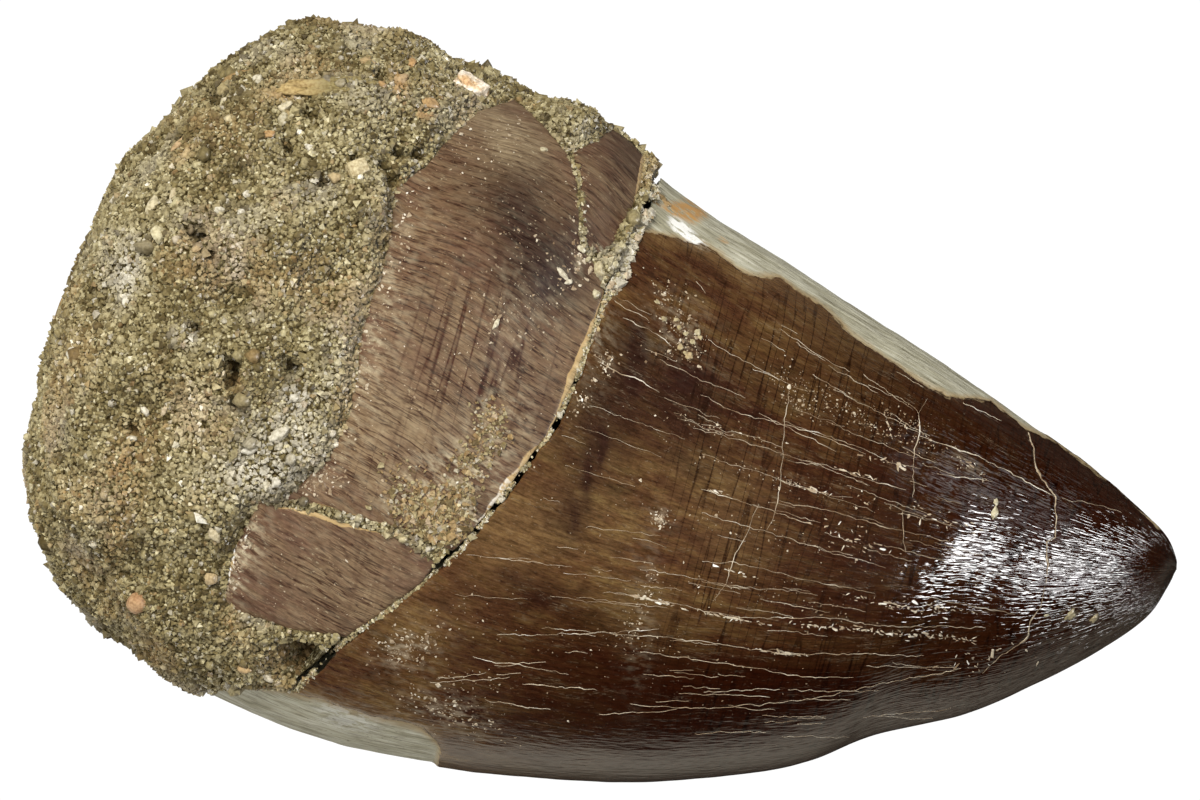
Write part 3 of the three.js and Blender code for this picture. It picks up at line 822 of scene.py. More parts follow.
PLATE_DUST = [
    (-6.6, -3, 2.2, 1.6, 40, 0.9), (-7.5, -5, 2, 1.4, 0, 0.9), (-5.6, 0.4, 1.2, 1.2, 40, 0.6),
    (-12.4, 2, 1.2, 6, 0, 0.6), (-3.7, 8.6, 0.8, 0.8, 0, 0.5), (-6, 5, 2.5, 2.5, 0, 0.2),
    (-15.6, -9.2, 0.8, 2.4, 0, 0.8),
]
# Where dark lines across the plates cross the growth lines, like a weave.
WOVEN = [(-7.5, 3, 3.5, 3.5, 0, 1.3), (-9.5, -4, 3, 2, 0, 0.5), (-11, -9, 3, 2, 0, 0.4)]
# Broken rims that show pale: the bevel by the break, and the ends of the shards.
PALE_RIMS = [
    (-2.6, 3.6, 1, 2.6, 0, 0.55), (-3.2, 14.6, 1.2, 0.5, -40, 0.35),
    (-1.9, 13.2, 0.5, 1.4, 0, 0.5), (-12, -6.5, 2.6, 0.5, 0, 0.3), (-16.3, -10, 0.5, 1.4, 0, 0.35),
    (-4.6, -2.6, 0.8, 2.6, -20, 0.36),
]


def along_outline(outline, steps, seed):
    """A closed outline as many short, slightly ragged steps."""
    corners = np.array(outline + outline[:1], float)
    distance = distance_along(corners)
    line = points_along(corners, distance, np.linspace(0, distance[-1], steps, endpoint=False))
    out = np.roll(line, -1, axis=0) - np.roll(line, 1, axis=0)
    out = np.stack([out[:, 1], -out[:, 0]], -1)
    out /= np.maximum(np.linalg.norm(out, axis=1, keepdims=True), 1e-9)
    places = flat(*line.T)
    ragged = 0.06 * lumps(places, 1.3, seed) + 0.04 * rough(places, 0.5, seed + 1, 2)
    return line + out * ragged[:, None]


def plate_top(x, y, height=0.0):
    """A plate's surface over places seen from above with a height over it, and its grain."""
    points, normals, angle = seat(x, y)
    grain = grain_of(points, angle) * PLATE_STRETCH
    rise = 0.05 * lumps(points, 3.0, 41) + 0.02 * lumps(points, 0.9, 42)
    rise += 0.014 * rough(grain, (2.0, 0.35, 0.35), 43) + height
    return lifted(points, normals, rise), grain


def build_plate(name, outline, middle, steps, rings, node):
    """A plate of so many steps round and rings across, closing in on its middle."""
    border = along_outline(outline, steps, 51 + len(outline))
    middle = np.array(middle)
    out = border - middle
    sheets, grains, edges = [], [], []

    def add_ring(share, height, drop, edge, uneven=0.0):
        """A ring at a share of the way out, lowered by a drop; edge is how far in it lies."""
        sheet, grain = plate_top(*blend(middle, border, share).T, height)
        sheet[:, 2] -= drop
        sheet[:, :2] += uneven * lumps(sheet, 0.5, 61)[:, None] * out
        sheets.append(sheet)
        grains.append(grain)
        edges.append(np.full(steps, edge))

    # The underside, narrower than the top, from its middle out, then the rough broken edge.
    for share in np.linspace(0.04, 0.97, rings // 4):
        add_ring(share, 0, PLATE_THICKNESS, HIDDEN)
    for drop in (1.5, 1.1, 0.75, 0.45, 0.22):
        add_ring(0.985 + 0.01 * math.sin(9 * drop), 0, drop, BROKEN, 0.007)
    # The top, from its rounded and chipped rim to the middle.
    radius = np.linalg.norm(out, axis=1)
    chipped = 0.5 + 0.5 * lumps(flat(*border.T), 0.8, 62)
    for share in (1.0, 0.994, 0.985, 0.972, *np.linspace(0.955, 0.02, rings)):
        from_rim = radius * (1 - share)
        worn = (0.04 + 0.1 * chipped) * np.exp(-from_rim / (0.04 + 0.09 * chipped))
        add_ring(share, -worn, 0, from_rim)
    top_middle, grain_middle = plate_top(*middle[:, None])
    points, faces = tube(sheets, top_middle - np.array([0, 0, PLATE_THICKNESS]), top_middle)
    grain = np.vstack([*grains, grain_middle, grain_middle])
    edge = np.concatenate([*edges, [HIDDEN, 5]])
    x, y = points[:, 0], points[:, 1]
    warp = 0.4 * lumps(points, 1.4, 63)
    rim = -0.06 + 0.1 * lumps(points, 0.7, 64) + np.clip(patches(x, y, PALE_RIMS), 0, 0.55)
    measures = {
        "grain": grain,
        "bare": np.where(edge < 0, 1, rim - edge),
        "stain": np.clip(patches(x + warp, y + warp, PLATE_STAINS), 0, 0.9),
        "tan": np.clip(patches(x + warp, y + warp, PLATE_TANS), 0, 0.8),
        "dark": np.zeros(len(points)),
        "dust": np.clip(patches(x, y, PLATE_DUST) + 0.06, 0, 1),
        "gloss": np.full(len(points), 0.3),
        "lines": np.clip(patches(x, y, WOVEN), 0, 1),
    }
    make_piece(name, points, faces, plate_enamel, measures, [node])


build_plate("base_plate_wall", BASE_PLATE[::-1], (-8.5, 1.0), 460, 50, "base_plate")
build_plate("upper_shard_wall", UPPER_SHARD[::-1], (-3.4, 12.6), 200, 20, "upper_shard")
build_plate("lower_shard_wall", LOWER_SHARD[::-1], (-11.8, -9.3), 290, 30, "lower_shard")

# %% [markdown]
# ## Sandstone
#
# The stone is sand that lime has cemented: rounded grains of phosphate and shell, about a
# quarter of a millimetre across, olive to cream, with a dark gap between them. Two things make
# it. A base mesh gives the lump its form, its pits and its hollows, in the colour of the cement,
# with fine cells painted darker at their edges as painted shade between them. Real grains then
# lie on it, tens of thousands, each with its own size, turn and tone.
# Bump alone would not cast the small shadows that make sand look like sand.

# %% Sandstone materials
CEMENT_CELL = 0.17  # widths of the patterns in mm
SAND_FLECK = 0.15
cement, add = new_material("sandstone_cement")
place = add("TexCoord", output="Object")
cells = add("TexVoronoi", {0: place, "Scale": 1 / (CEMENT_CELL * MM)}).node.outputs
each = add("SeparateColor", [cells["Color"]])
stops = [(0, "#544829"), (0.4, "#7c704c"), (0.8, "#a79c75"), (1, "#cfc6a6")]
# Painted shade: the cells darken towards their edges, like the crevices between grains.
painted_gap_shade = (cells["Distance"], [(0.25, "#ffffff"), (0.7, "#6e6450")])
inputs = {"Strength": 0.9, "Distance": 0.1 * MM, "Height": cells["Distance"]}
finish_surface(add, {
    "Base Color": painted(add, (each, stops), [(1, painted_gap_shade, "MULTIPLY")]), "Roughness": 0.9,
    "Normal": add("Bump", inputs, invert=True), "IOR": 1.5,
})

sand, add = new_material("phosphate_sand")
stops = [
    (0, "#54482c"), (0.25, "#796c47"), (0.5, "#978b66"), (0.75, "#b2a780"), (0.93, "#d0c6a3"),
    (1, "#ece6d3"),
]
tone, pale, rust = (
    add("Attribute", output="Fac", attribute_name=key) for key in ("tone", "pale", "rust")
)
place = add("TexCoord", output="Object")
fleck = add("TexNoise", {0: place, "Scale": 1 / (SAND_FLECK * MM), "Detail": 3})
colour = painted(add, (tone, stops), [
    (pale, "#c4bdab", "MIX"),
    (rust, "#aa875a", "MIX"),
    (0.7, (fleck, [(0.3, "#a59c8b"), (0.6, "#ffffff")]), "MULTIPLY"),
])
relief = add("Bump", {"Strength": 0.5, "Distance": 0.03 * MM, "Height": fleck})
finish_surface(add, {"Base Color": colour, "Roughness": 0.42, "Normal": relief, "IOR": 1.6})
print("materials:", cement.name, sand.name)

# %% The stone's form
STONE_RISE = 0.85
SEAM_DEPTH = 0.07
EDGE_CALM = 0.5
# Lumps and pits as x, y, side (1 is the top), radius, height.
STONE_SPOTS = [
    (-19.2, 2.4, 1, 1.3, -1.6), (-20.2, 6.9, 1, 1.2, -0.9), (-11.9, -13.6, 1, 1.3, -1.8),
    (-14.1, 11, 1, 1.2, -0.8), (-24, 2.6, 1, 2.2, 0.5), (-17, -1.8, 1, 1.9, 0.6),
    (-20.6, -3.6, 1, 1.4, -0.5), (-22.6, 9.2, 1, 1.8, 0.6), (-22.8, -8.2, 1, 2, 0.5),
    (-18.6, -9.6, 1, 1.5, -0.5), (-17.6, 6, 1, 1.6, 0.5), (-14, -14.2, 1, 1.1, 0.5),
    (-8, 6.5, -1, 3, 0.8), (-15, 9, -1, 2.2, -0.9), (-21, 7.5, -1, 2.6, 0.8),
    (-24, -3, -1, 2.2, -0.7), (-15.5, -9, -1, 2.4, 0.8), (-21, -9, -1, 2, -0.8),
    (-9, 10.5, -1, 1.8, -0.9),
]
# Small deep holes on the top: x, y, radius, depth. The grains in them are painted darker, as painted
# shade.
STONE_HOLES = [
    (-21.4, 4.6, 0.45, 1), (-20.6, 4.1, 0.4, 1), (-18.3, -0.7, 0.35, 1.3),
    (-18.1, -1.4, 0.35, 1.2), (-20.4, 0.4, 0.3, 0.7), (-15.7, -0.1, 0.35, 0.8),
    (-16.5, 8.7, 0.3, 0.7), (-15.5, 9.9, 0.35, 0.8), (-13.4, 9.6, 0.45, 1.3),
    (-12.6, 11.2, 0.4, 1.2), (-13.4, 11, 0.35, 1), (-14, 10.2, 0.35, 1), (-11.4, -13.3, 0.9, 1.2),
    (-14.4, -6.9, 0.3, 0.6), (-17.8, 11.6, 0.3, 0.6), (-22.6, 11.3, 0.35, 0.7),
    (-18.6, 9.9, 0.3, 0.9), (-17.7, -2.4, 0.3, 0.9), (-22.2, -4.9, 0.35, 0.7),
    (-15.3, 14, 0.3, 0.8),
]
STONE_SWELL = [
    (0.75, 0.32, 0.41, 0.4, 0.2), (-0.38, 0.83, 0.25, 1.9, 0.2), (0.52, -0.61, 0.77, 3.1, 0.18),
    (1.31, 0.48, -0.36, 5, 0.13), (-0.55, 1.22, 0.64, 2.2, 0.13), (0.92, 1.05, 1.12, 0.9, 0.1),
]


def plate_distance(x, y):
    """Distance from the nearest plate, negative on one."""
    return np.minimum.reduce([distance_from(outline, x, y) for outline in PLATES])


def stone_rise(points, normals):
    """How far the stone stands off the tooth's form: low in the seams, high in the open."""
    x, y = points[..., 0], points[..., 1]
    above = normals[..., 2] >= 0
    ragged = 0.25 * lumps(points, 0.8, 71)
    clear = break_x(y, above) - x
    on_plate = np.where(above, plate_distance(x, y), 9.0)
    clear = np.minimum(clear, on_plate) + ragged
    facing = np.abs(normals[..., 2])
    calm = blend(EDGE_CALM, 1, facing)
    lump = STONE_RISE * facing
    for kx, ky, kz, phase, height in STONE_SWELL:
        wave = np.sin(kx * x + ky * y + kz * points[..., 2] + phase)
        lump = lump + height * calm * wave
    for px, py, side, radius, height in STONE_SPOTS:
        near = np.exp(-((x - px) ** 2 + (y - py) ** 2) / radius**2)
        lump = lump + height * near * (above == (side > 0))
    for px, py, radius, depth in STONE_HOLES:
        from_hole = np.hypot(x - px, y - py) + ragged
        lump = lump - 1.5 * depth * (1 - ease(from_hole, radius * 0.5, radius * 1.4)) * above
    lump = lump + (0.25 * rough(points, 1.5, 72) + 0.1 * rough(points, 0.7, 77, 2)) * calm
    # Clefts between clods: narrow valleys that open here and there.
    cleft = 1 - np.abs(rough(points, 2.6, 74, 2)) / 0.09
    cleft = np.clip(cleft, 0, 1) * ease(lumps(points, 3.5, 76), -0.1, 0.4)
    lump = lump - 0.5 * cleft * calm * above
    rise = blend(-SEAM_DEPTH * calm, lump, ease(clear, 0.0, 0.75))
    return rise - 1.25 * ease(-on_plate, 0.1, 0.7)


# %% Build the stone's base
STONE_ROWS = 122
STONE_COLUMNS = 230, 80
STONE_END = 0.014  # the stone's last row lies this much of a station before the break
BREAK_GAP = 0.25
stone_angles = angles_round(*STONE_COLUMNS)
stone_end = break_station(stone_angles) - STONE_END
share = np.linspace(0, 1, STONE_ROWS + 1)[1:, None] ** 0.8
u = stone_end * share
angle = np.broadcast_to(stone_angles, u.shape)
stone_form, stone_normals = form(u, angle), form_normal(u, angle)
stone_skin = lifted(stone_form, stone_normals, stone_rise(stone_form, stone_normals))
stone_rings = [*stone_skin]
seam = form(stone_end + STONE_END, stone_angles)
seam[:, 1:] = blend(seam[:, 1:], BREAK_HEART[1:], 0.03)
seam[:, 0] -= BREAK_GAP
for inward in np.linspace(0, 0.94, 12):
    ring = blend(seam, BREAK_HEART - [BREAK_GAP, 0, 0], inward)
    ring[:, 0] += 0.12 * rough(ring, 1.0, 73) - 0.15
    stone_rings.append(ring)
start_point = form(np.array([0.0]), np.array([0.0]))
end_point = BREAK_HEART[None] - [[BREAK_GAP + 0.1, 0, 0]]
stone_points, stone_faces = tube(stone_rings, start_point, end_point)
stone_points[:, 2] = np.maximum(stone_points[:, 2], 0)
make_piece("stone_base", stone_points, stone_faces, cement, {}, ["stone"])

# %% [markdown]
# ## Grains of sand
#
# A fine grain is an octahedron that lies on one face, with its corners moved about and its
# faces left flat, so that it glints like a crystal. A larger one starts as an icosahedron, a
# ball of twenty triangles, and smooth shading makes it round. One function takes places, facing
# directions and radii and returns all the grains as one mesh, which a renderer handles far
# better than thousands of objects.

# %% Grain helpers


def ball(divisions):
    """Points and faces of a small round ball of radius 1."""
    shape = bmesh.new()
    bmesh.ops.create_icosphere(shape, subdivisions=divisions, radius=1.0)
    points = np.array([vertex.co[:] for vertex in shape.verts])
    faces = np.array([[vertex.index for vertex in face.verts] for face in shape.faces])
    shape.free()
    return points, faces


BALL = ball(1)
# Three corners round the top and three round the bottom, a sixth of a turn further.
turns = np.radians([0, 120, 240, 60, 180, 300])
heights = np.repeat([0.7, -0.7], 3)
sides = [(0, 1, 2), (3, 5, 4), (0, 3, 1), (3, 4, 1), (1, 4, 2), (4, 5, 2), (2, 5, 0), (5, 3, 0)]
CRYSTAL = np.stack([np.cos(turns), np.sin(turns), heights], -1), np.array(sides)


def grains(places, facing, sizes, chance, shape, lengthways=False):
    """Grains at the places; sizes is (long, wide, high) in mm, high along facing."""
    count = len(places)
    corners, sides = shape
    helper = chance.normal(size=(count, 3)) * ([0.25, 1, 0.25] if lengthways else 1)
    long = np.cross(facing, helper)
    long /= np.linalg.norm(long, axis=1, keepdims=True)
    wide = np.cross(facing, long)
    axes = np.stack([long, wide, facing], 1)
    knobs = 1 + 0.18 * chance.normal(size=(count, len(corners), 1))
    local = corners[None] * knobs * sizes[:, None, :]
    points = places[:, None, :] + np.einsum("nvi,nij->nvj", local, axes)
    points = points.reshape(-1, 3)
    points[:, 2] = np.maximum(points[:, 2], 0.01)
    faces = sides[None] + (np.arange(count) * len(corners))[:, None, None]
    return points, faces.reshape(-1, 3)


def thinned(places, spacing):
    """Indices of places of which no two share a cube of that width."""
    cells = np.floor(places / spacing).astype(np.int64)
    _, first = np.unique(cells, axis=0, return_index=True)
    return np.sort(first)


def sprinkle(surface, normals, count, chance):
    """Places spread evenly over a grid surface, with the direction that each faces."""
    a, b = surface[:-1, :], surface[1:, :]
    after_a, after_b = np.roll(a, -1, axis=1), np.roll(b, -1, axis=1)
    area = np.linalg.norm(np.cross(after_a - a, b - a), axis=-1).ravel()
    pick = chance.choice(len(area), size=count, p=area / area.sum())
    row, column = np.divmod(pick, surface.shape[1])
    s, t = chance.random((2, count, 1))
    near = blend(a[row, column], after_a[row, column], s)
    far = blend(b[row, column], after_b[row, column], s)
    return blend(near, far, t), normals[row, column]


# %% Lay the sand on the stone
WHITE_PATCHES = [
    (-24.3, 2.2, 0.6, 1.4, 0, 0.8), (-19.4, 3.8, 0.5, 0.6, 0, 0.8), (-20.9, 0, 0.6, 0.5, 0, 0.7),
    (-15.7, -5.1, 2.4, 1.3, 20, 0.75), (-14.9, -1.5, 0.9, 0.9, 0, 0.7),
    (-13.4, 0.5, 0.9, 3, 0, 0.3), (-15.5, -3.2, 1.5, 1, 0, 0.4),
]
RUST_PATCHES = [
    (-14.3, 14.2, 0.35, 0.7, 30, 0.9), (-12.8, 13.2, 0.4, 0.3, 0, 0.9),
    (-23.2, 8.4, 0.8, 0.3, 60, 0.5), (-19.6, 12.3, 1, 0.4, 10, 0.5),
    (-22.5, -6.5, 0.8, 0.8, 0, 0.3), (-25.5, -2, 1, 1.5, 0, 0.25),
]
SPRINKLED = 110000  # places tried, of which only well spaced ones keep a grain
TOP_SPACING, UNDER_SPACING, LARGE_SPACING = 0.152, 0.24, 0.75
chance = np.random.default_rng(101)
places, facing = sprinkle(stone_skin, stone_normals, SPRINKLED, chance)
x, y, z = places.T
over = facing[:, 2] > -0.05
hidden = over & (plate_distance(x, y) < 0.12 * lumps(places, 0.6, 86) - 0.06)
keep = ~hidden & (z > 0.15)
places, facing, over = places[keep], facing[keep], over[keep]
top, under = np.flatnonzero(over), np.flatnonzero(~over)
large = top[thinned(places[top], LARGE_SPACING)]
top = top[thinned(places[top], TOP_SPACING)]
under = under[thinned(places[under], UNDER_SPACING)]
print("grains on top", len(top), "and below", len(under), "and large ones", len(large))


def sand_piece(name, chosen, radius, spread, shape):
    """One mesh of grains with a tone for each, paler and rustier where the patches say.

    The places are chosen by number, and the radii spread about the given one.
    """
    count = len(chosen)
    spots, out = places[chosen], facing[chosen]
    size = radius * np.exp(spread * chance.normal(size=count))
    sizes = size[:, None] * chance.uniform(0.7, 1.25, size=(count, 3))
    tilt = out + 0.5 * chance.normal(size=(count, 3))
    tilt /= np.linalg.norm(tilt, axis=1, keepdims=True)
    lift = chance.uniform(-0.5, 0.5, size=count) * size
    spots = spots + out * lift[:, None]
    points, faces = grains(spots, tilt, sizes, chance, shape)
    x, y = spots[:, 0], spots[:, 1]
    tone = 0.4 + 0.2 * chance.normal(size=count) + 0.2 * rough(spots, 2.2, 81)
    tone -= 0.3 * ease(lumps(spots, 0.9, 87), 0.3, 0.8)
    # Painted shade: the grains darken towards the lower side of the stone.
    tone -= 0.07 * ease(-y, 7, 14)
    # Painted shade: the grains in the holes are darker.
    for hx, hy, hole, _ in STONE_HOLES:
        tone -= 0.4 * (np.hypot(x - hx, y - hy) < hole)
    seen = out[:, 2] > 0
    pale = patches(x, y, WHITE_PATCHES) * seen * (chance.random(count) < 0.85)
    pale += 0.25 * ease(rough(spots, 2.8, 83), 0.1, 0.9) + 0.6 * (chance.random(count) < 0.03)
    rust = patches(x, y, RUST_PATCHES) * seen + 0.25 * ease(rough(spots, 3.2, 84), 0.0, 0.8)
    rust += 0.3 * (chance.random(count) < 0.03)
    measures = {"tone": tone, "pale": pale, "rust": rust}
    each = np.repeat(np.arange(count), len(shape[0]))
    measures = {key: np.clip(values, 0, 1)[each] for key, values in measures.items()}
    piece = make_piece(name, points, [faces], sand, measures)
    if shape is CRYSTAL:
        piece.data.shade_flat()


PER_PIECE = 20000  # grains in one piece, so that each mesh stays light
for number, first in enumerate(range(0, len(top), PER_PIECE), 1):
    sand_piece(f"sand_top_{number}", top[first : first + PER_PIECE], 0.112, 0.25, CRYSTAL)
sand_piece("sand_below_1", under, 0.18, 0.22, CRYSTAL)
sand_piece("sand_coarse", large, 0.125, 0.42, BALL)

# %% Clasts that stand out of the sand
# Bits of shell and stone: x, y, half length, half width, heading, tone, whiteness, rust.
CLASTS = [
    (-23.2, 8.5, 0.6, 0.2, 51, 0.6, 0.4, 0.7), (-17.5, 10, 0.22, 0.17, 0, 0.9, 1, 0),
    (-19, 10.9, 0.35, 0.26, 80, 0.62, 0.3, 0), (-19.4, 9.9, 0.3, 0.17, 20, 0.3, 0, 0.9),
    (-19.1, 11.4, 0.36, 0.24, 60, 0.85, 0.3, 0.1), (-16, 8.9, 0.32, 0.28, 0, 0.6, 0.1, 0.4),
    (-23.4, 5.4, 0.55, 0.26, 100, 0.8, 0.2, 0.1), (-22.7, 6.1, 0.4, 0.18, 110, 0.75, 0.3, 0.2),
    (-19.8, 7.3, 0.26, 0.2, 60, 0.9, 0.9, 0), (-19.7, 6.2, 0.22, 0.2, 0, 0.9, 1, 0),
    (-20.8, 6.1, 0.3, 0.22, 0, 0.7, 0.8, 0), (-22, 11.6, 0.4, 0.32, 30, 0.45, 0, 0.1),
    (-22.6, 11.3, 0.34, 0.28, 60, 0.4, 0, 0.1), (-20.6, 12.3, 0.34, 0.25, 100, 0.8, 0.6, 0),
    (-21.1, 11.5, 0.27, 0.24, 50, 0.85, 0.8, 0), (-21.8, 11.1, 0.34, 0.17, 15, 0.85, 0.5, 0.1),
    (-23.8, 0.9, 0.32, 0.26, 100, 0.95, 0.9, 0), (-21.9, -3.8, 0.34, 0.17, -30, 0.9, 0.9, 0),
    (-21, -3.6, 0.3, 0.15, 75, 0.8, 0.6, 0.4), (-22, -5.2, 0.27, 0.16, 20, 0.9, 0.8, 0),
    (-25.3, -2.1, 0.26, 0.3, 0, 0.9, 0.8, 0), (-15.2, -3.2, 0.45, 0.3, 50, 0.7, 0.8, 0),
    (-16.3, -4.1, 0.38, 0.2, 30, 0.9, 1, 0), (-14.4, 14.1, 0.62, 0.34, 66, 0.8, 0.4, 0.75),
    (-14.1, 15.1, 0.5, 0.2, 80, 0.4, 0, 1), (-16, 14.4, 0.42, 0.2, 20, 0.6, 0, 0.5),
    (-12.8, 13.2, 0.4, 0.26, 10, 0.5, 0, 0.8), (-15.1, 13.4, 0.2, 0.17, 0, 0.6, 0, 0.9),
    (-21.5, 12.2, 0.85, 0.2, 20, 0.2, 0, 0.5), (-15, -1.4, 0.3, 0.25, 30, 0.95, 1, 0),
    (-14.8, -5.3, 0.3, 0.2, 70, 0.95, 1, 0), (-13.9, -5.9, 0.25, 0.18, 0, 0.9, 1, 0),
    (-13, -14.6, 0.3, 0.25, 0, 0.85, 0.7, 0.1), (-14.2, -14.3, 0.34, 0.26, 40, 0.7, 0, 0.7),
    (-16.8, -10.6, 0.36, 0.3, 20, 0.75, 0.2, 0.5), (-17, -8.4, 0.4, 0.3, -30, 0.8, 0.3, 0.2),
]


def clasts(name, table, surface, height, thickness=0.8, uneven=(0.35, 0.9)):
    """Worn bits at the places of a table, that high over a surface.

    The thickness is for a width of 1, and uneven says how much and in what size of lumps, as a
    share of the bit, its form departs from a ball.
    """
    px, py, long, wide, heading, tone, pale, rust = np.array(table, float).T
    out = seat(px, py)[1]
    spots = surface(px, py, height)
    ball_points, sides = ball(3)
    heading = np.radians(heading)
    axis = np.stack([np.cos(heading), np.sin(heading), 0 * heading], -1)
    axis -= out * np.sum(axis * out, axis=1, keepdims=True)
    axis /= np.linalg.norm(axis, axis=1, keepdims=True)
    axes = np.stack([axis, np.cross(out, axis), out], 1)
    # Each bit takes its own part of the noise, so that no two are alike.
    own = ball_points[None] + 10 * np.arange(len(px))[:, None, None]
    local = ball_points[None] * (1 + uneven[0] * rough(own, uneven[1], 85))[..., None]
    local = local * np.stack([long, wide, thickness * wide], -1)[:, None, :]
    local *= chance.uniform(0.92, 1.08, size=local.shape)
    points = spots[:, None, :] + np.einsum("nvi,nij->nvj", local, axes)
    faces = sides[None] + (np.arange(len(px)) * len(ball_points))[:, None, None]
    each = np.repeat(np.arange(len(px)), len(ball_points))
    measures = {"tone": tone[each], "pale": pale[each], "rust": rust[each]}
    make_piece(name, points.reshape(-1, 3), [faces.reshape(-1, 3)], sand, measures)


def stone_over(x, y, height):
    """The stone's surface over places seen from above, and a height over it."""
    points, normals, _ = seat(x, y)
    return lifted(points, normals, stone_rise(points, normals) + height)


def plate_over(x, y, height):
    return plate_top(x, y, height)[0]


clasts("stone_clasts", CLASTS, stone_over, 0.02)
# The same kind of bits on the plates and, thin as a film, on the polished enamel.
PLATE_CLASTS = [
    (-4.5, 7.5, 0.42, 0.14, -35, 0.9, 0.7, 0.1), (-4.1, 7.2, 0.2, 0.12, 40, 0.9, 0.7, 0),
    (-2.85, 8.2, 0.42, 0.3, 110, 0.75, 0.2, 0.1), (-3.9, 8.9, 0.2, 0.15, 0, 0.8, 0.4, 0),
    (-3.5, 8.5, 0.17, 0.13, 60, 0.7, 0.2, 0), (-6.9, 4.4, 0.24, 0.12, 70, 0.9, 0.5, 0),
    (-2.7, 7, 0.24, 0.17, 100, 0.75, 0.3, 0), (-6.9, 13, 0.2, 0.13, 20, 0.7, 0.3, 0),
]
CROWN_CLASTS = [
    (18.3, 1.9, 0.34, 0.16, 85, 0.75, 0.3, 0), (18.2, 2.4, 0.15, 0.1, 100, 0.75, 0.3, 0),
    (23.1, -1.9, 0.3, 0.22, 35, 0.4, 0.1, 0), (24.3, -1.75, 0.22, 0.16, 60, 0.38, 0.1, 0.1),
    (22, -2.2, 0.12, 0.07, 0, 0.5, 0.3, 0), (0.2, 7.4, 0.15, 0.1, 0, 0.6, 0.1, 0.1),
    (0.7, 6.7, 0.15, 0.12, 70, 0.55, 0.1, 0.1), (1.3, 6.8, 0.13, 0.1, 20, 0.6, 0.1, 0.2),
    (1.5, 6.5, 0.12, 0.1, 0, 0.5, 0, 0.2), (1.9, 6.3, 0.13, 0.1, 30, 0.6, 0.1, 0.1),
    (2.4, 6.5, 0.17, 0.13, 80, 0.65, 0.2, 0.1), (2.6, 6.3, 0.13, 0.1, 0, 0.6, 0.1, 0.2),
    (2.3, 6, 0.16, 0.12, -20, 0.6, 0.1, 0.1), (1.8, 5.6, 0.19, 0.15, 60, 0.6, 0.1, 0.3),
    (2.3, 5.3, 0.2, 0.16, 30, 0.6, 0.1, 0.4), (2.1, 5.4, 0.13, 0.1, 0, 0.55, 0.1, 0.2),
    (-0.9, 12.5, 0.34, 0.24, -20, 0.25, 0, 0.4), (-0.5, 12.25, 0.24, 0.2, 0, 0.35, 0, 0.6),
    (-1, 12.15, 0.2, 0.16, 0, 0.2, 0, 0.3), (-0.1, 12, 0.2, 0.12, -30, 0.4, 0.1, 0.6),
]
clasts("plate_clasts", PLATE_CLASTS, plate_over, 0.03)
clasts("crown_clasts", CROWN_CLASTS, crown_over, 0, 0.35, (0.5, 0.55))

# %% [markdown]
# ## Grains in the break and on the plates
#
# Sand still fills most of the break and lies on the plates in crusts. It is fine and pale
# there: crushed shell and calcite. Between the grains the break is open and black.

# %% Grains in the break
OPEN_PLACES = [
    (2.7, 0.2), (0.6, 0.3), (-1.2, 0.35), (-2.3, 0.3), (-4, 0.25), (11.8, 0.3), (-13.2, 0.6),
]
SUGARY = (7.2, 12.4)  # from this y to that one the break is wide and full of pale grains
BREAK_GRAINS = 5200


def grain_piece(name, spots, facing, size, shape, material, chance, measures):
    """Small grains of the given radii; shape is (long, wide, high) of one grain of radius 1."""
    sizes = 1.2 * size[:, None] * np.array(shape) * chance.uniform(0.6, 1.4, size=(len(size), 3))
    tilt = facing + (0.35 if shape[2] > 0.6 else 0.08) * chance.normal(size=spots.shape)
    tilt /= np.linalg.norm(tilt, axis=1, keepdims=True)
    points, faces = grains(spots, tilt, sizes, chance, CRYSTAL, shape[0] > 1.5)
    each = np.repeat(np.arange(len(spots)), len(CRYSTAL[0]))
    measures = {key: values[each] for key, values in measures.items()}
    make_piece(name, points, [faces], material, measures).data.shade_flat()


chance = np.random.default_rng(202)
y = chance.uniform(-15.5, 12.9, BREAK_GRAINS)
sugary = ease(y, SUGARY[0] - 0.6, SUGARY[0] + 0.4)
sugary = sugary * (1 - ease(y, SUGARY[1] - 0.3, SUGARY[1] + 0.3))
down = flat(y * 0, y)
swelling = lumps(down, 1.1, 96) + 0.6 * lumps(down, 0.35, 97)
width = blend(0.24, 0.5 + 0.3 * ease(y, 10, 12), sugary) * (1 + 0.4 * swelling)
x = break_x(y, True) + 0.02 + 0.14 * sugary * (1 + swelling) - width * chance.random(BREAK_GRAINS)
keep = (sugary > 0.5) | (lumps(down, 0.7, 98) > -0.5)
for place, half in OPEN_PLACES:
    keep &= (np.abs(y - place) > half) | (chance.random(len(y)) < 0.04)
x, y, sugary = x[keep], y[keep], sugary[keep]
size = blend(0.05, 0.07, sugary) * np.exp(0.35 * chance.normal(size=len(x)))
height = chance.uniform(-0.3, -0.02, len(x)) + 0.16 * sugary
spots, facing, _ = seat(x, y)
spots = lifted(spots, facing, height)
grain_piece(
    "break_sand", spots, facing, size, (1, 1, 0.8), sand, chance,
    {
        "tone": np.clip(0.45 + 0.2 * sugary + 0.22 * chance.normal(size=len(x)), 0, 1),
        "pale": np.where(chance.random(len(x)) < 0.2 + 0.6 * sugary, 0.75, 0.05),
        "rust": 0.4 * (chance.random(len(x)) < 0.15),
    },
)

# %% [markdown]
# ## Cracks filled with calcite
#
# The enamel dried and split lengthways, and water then filled the splits with calcite. Each
# crack is a path of a few corners. The path is cut into steps of a tenth of a millimetre, it
# wavers, it swells and thins, and it tapers at both ends. Round it goes a flat vein with four
# sides that lies in the enamel and stands barely over it.

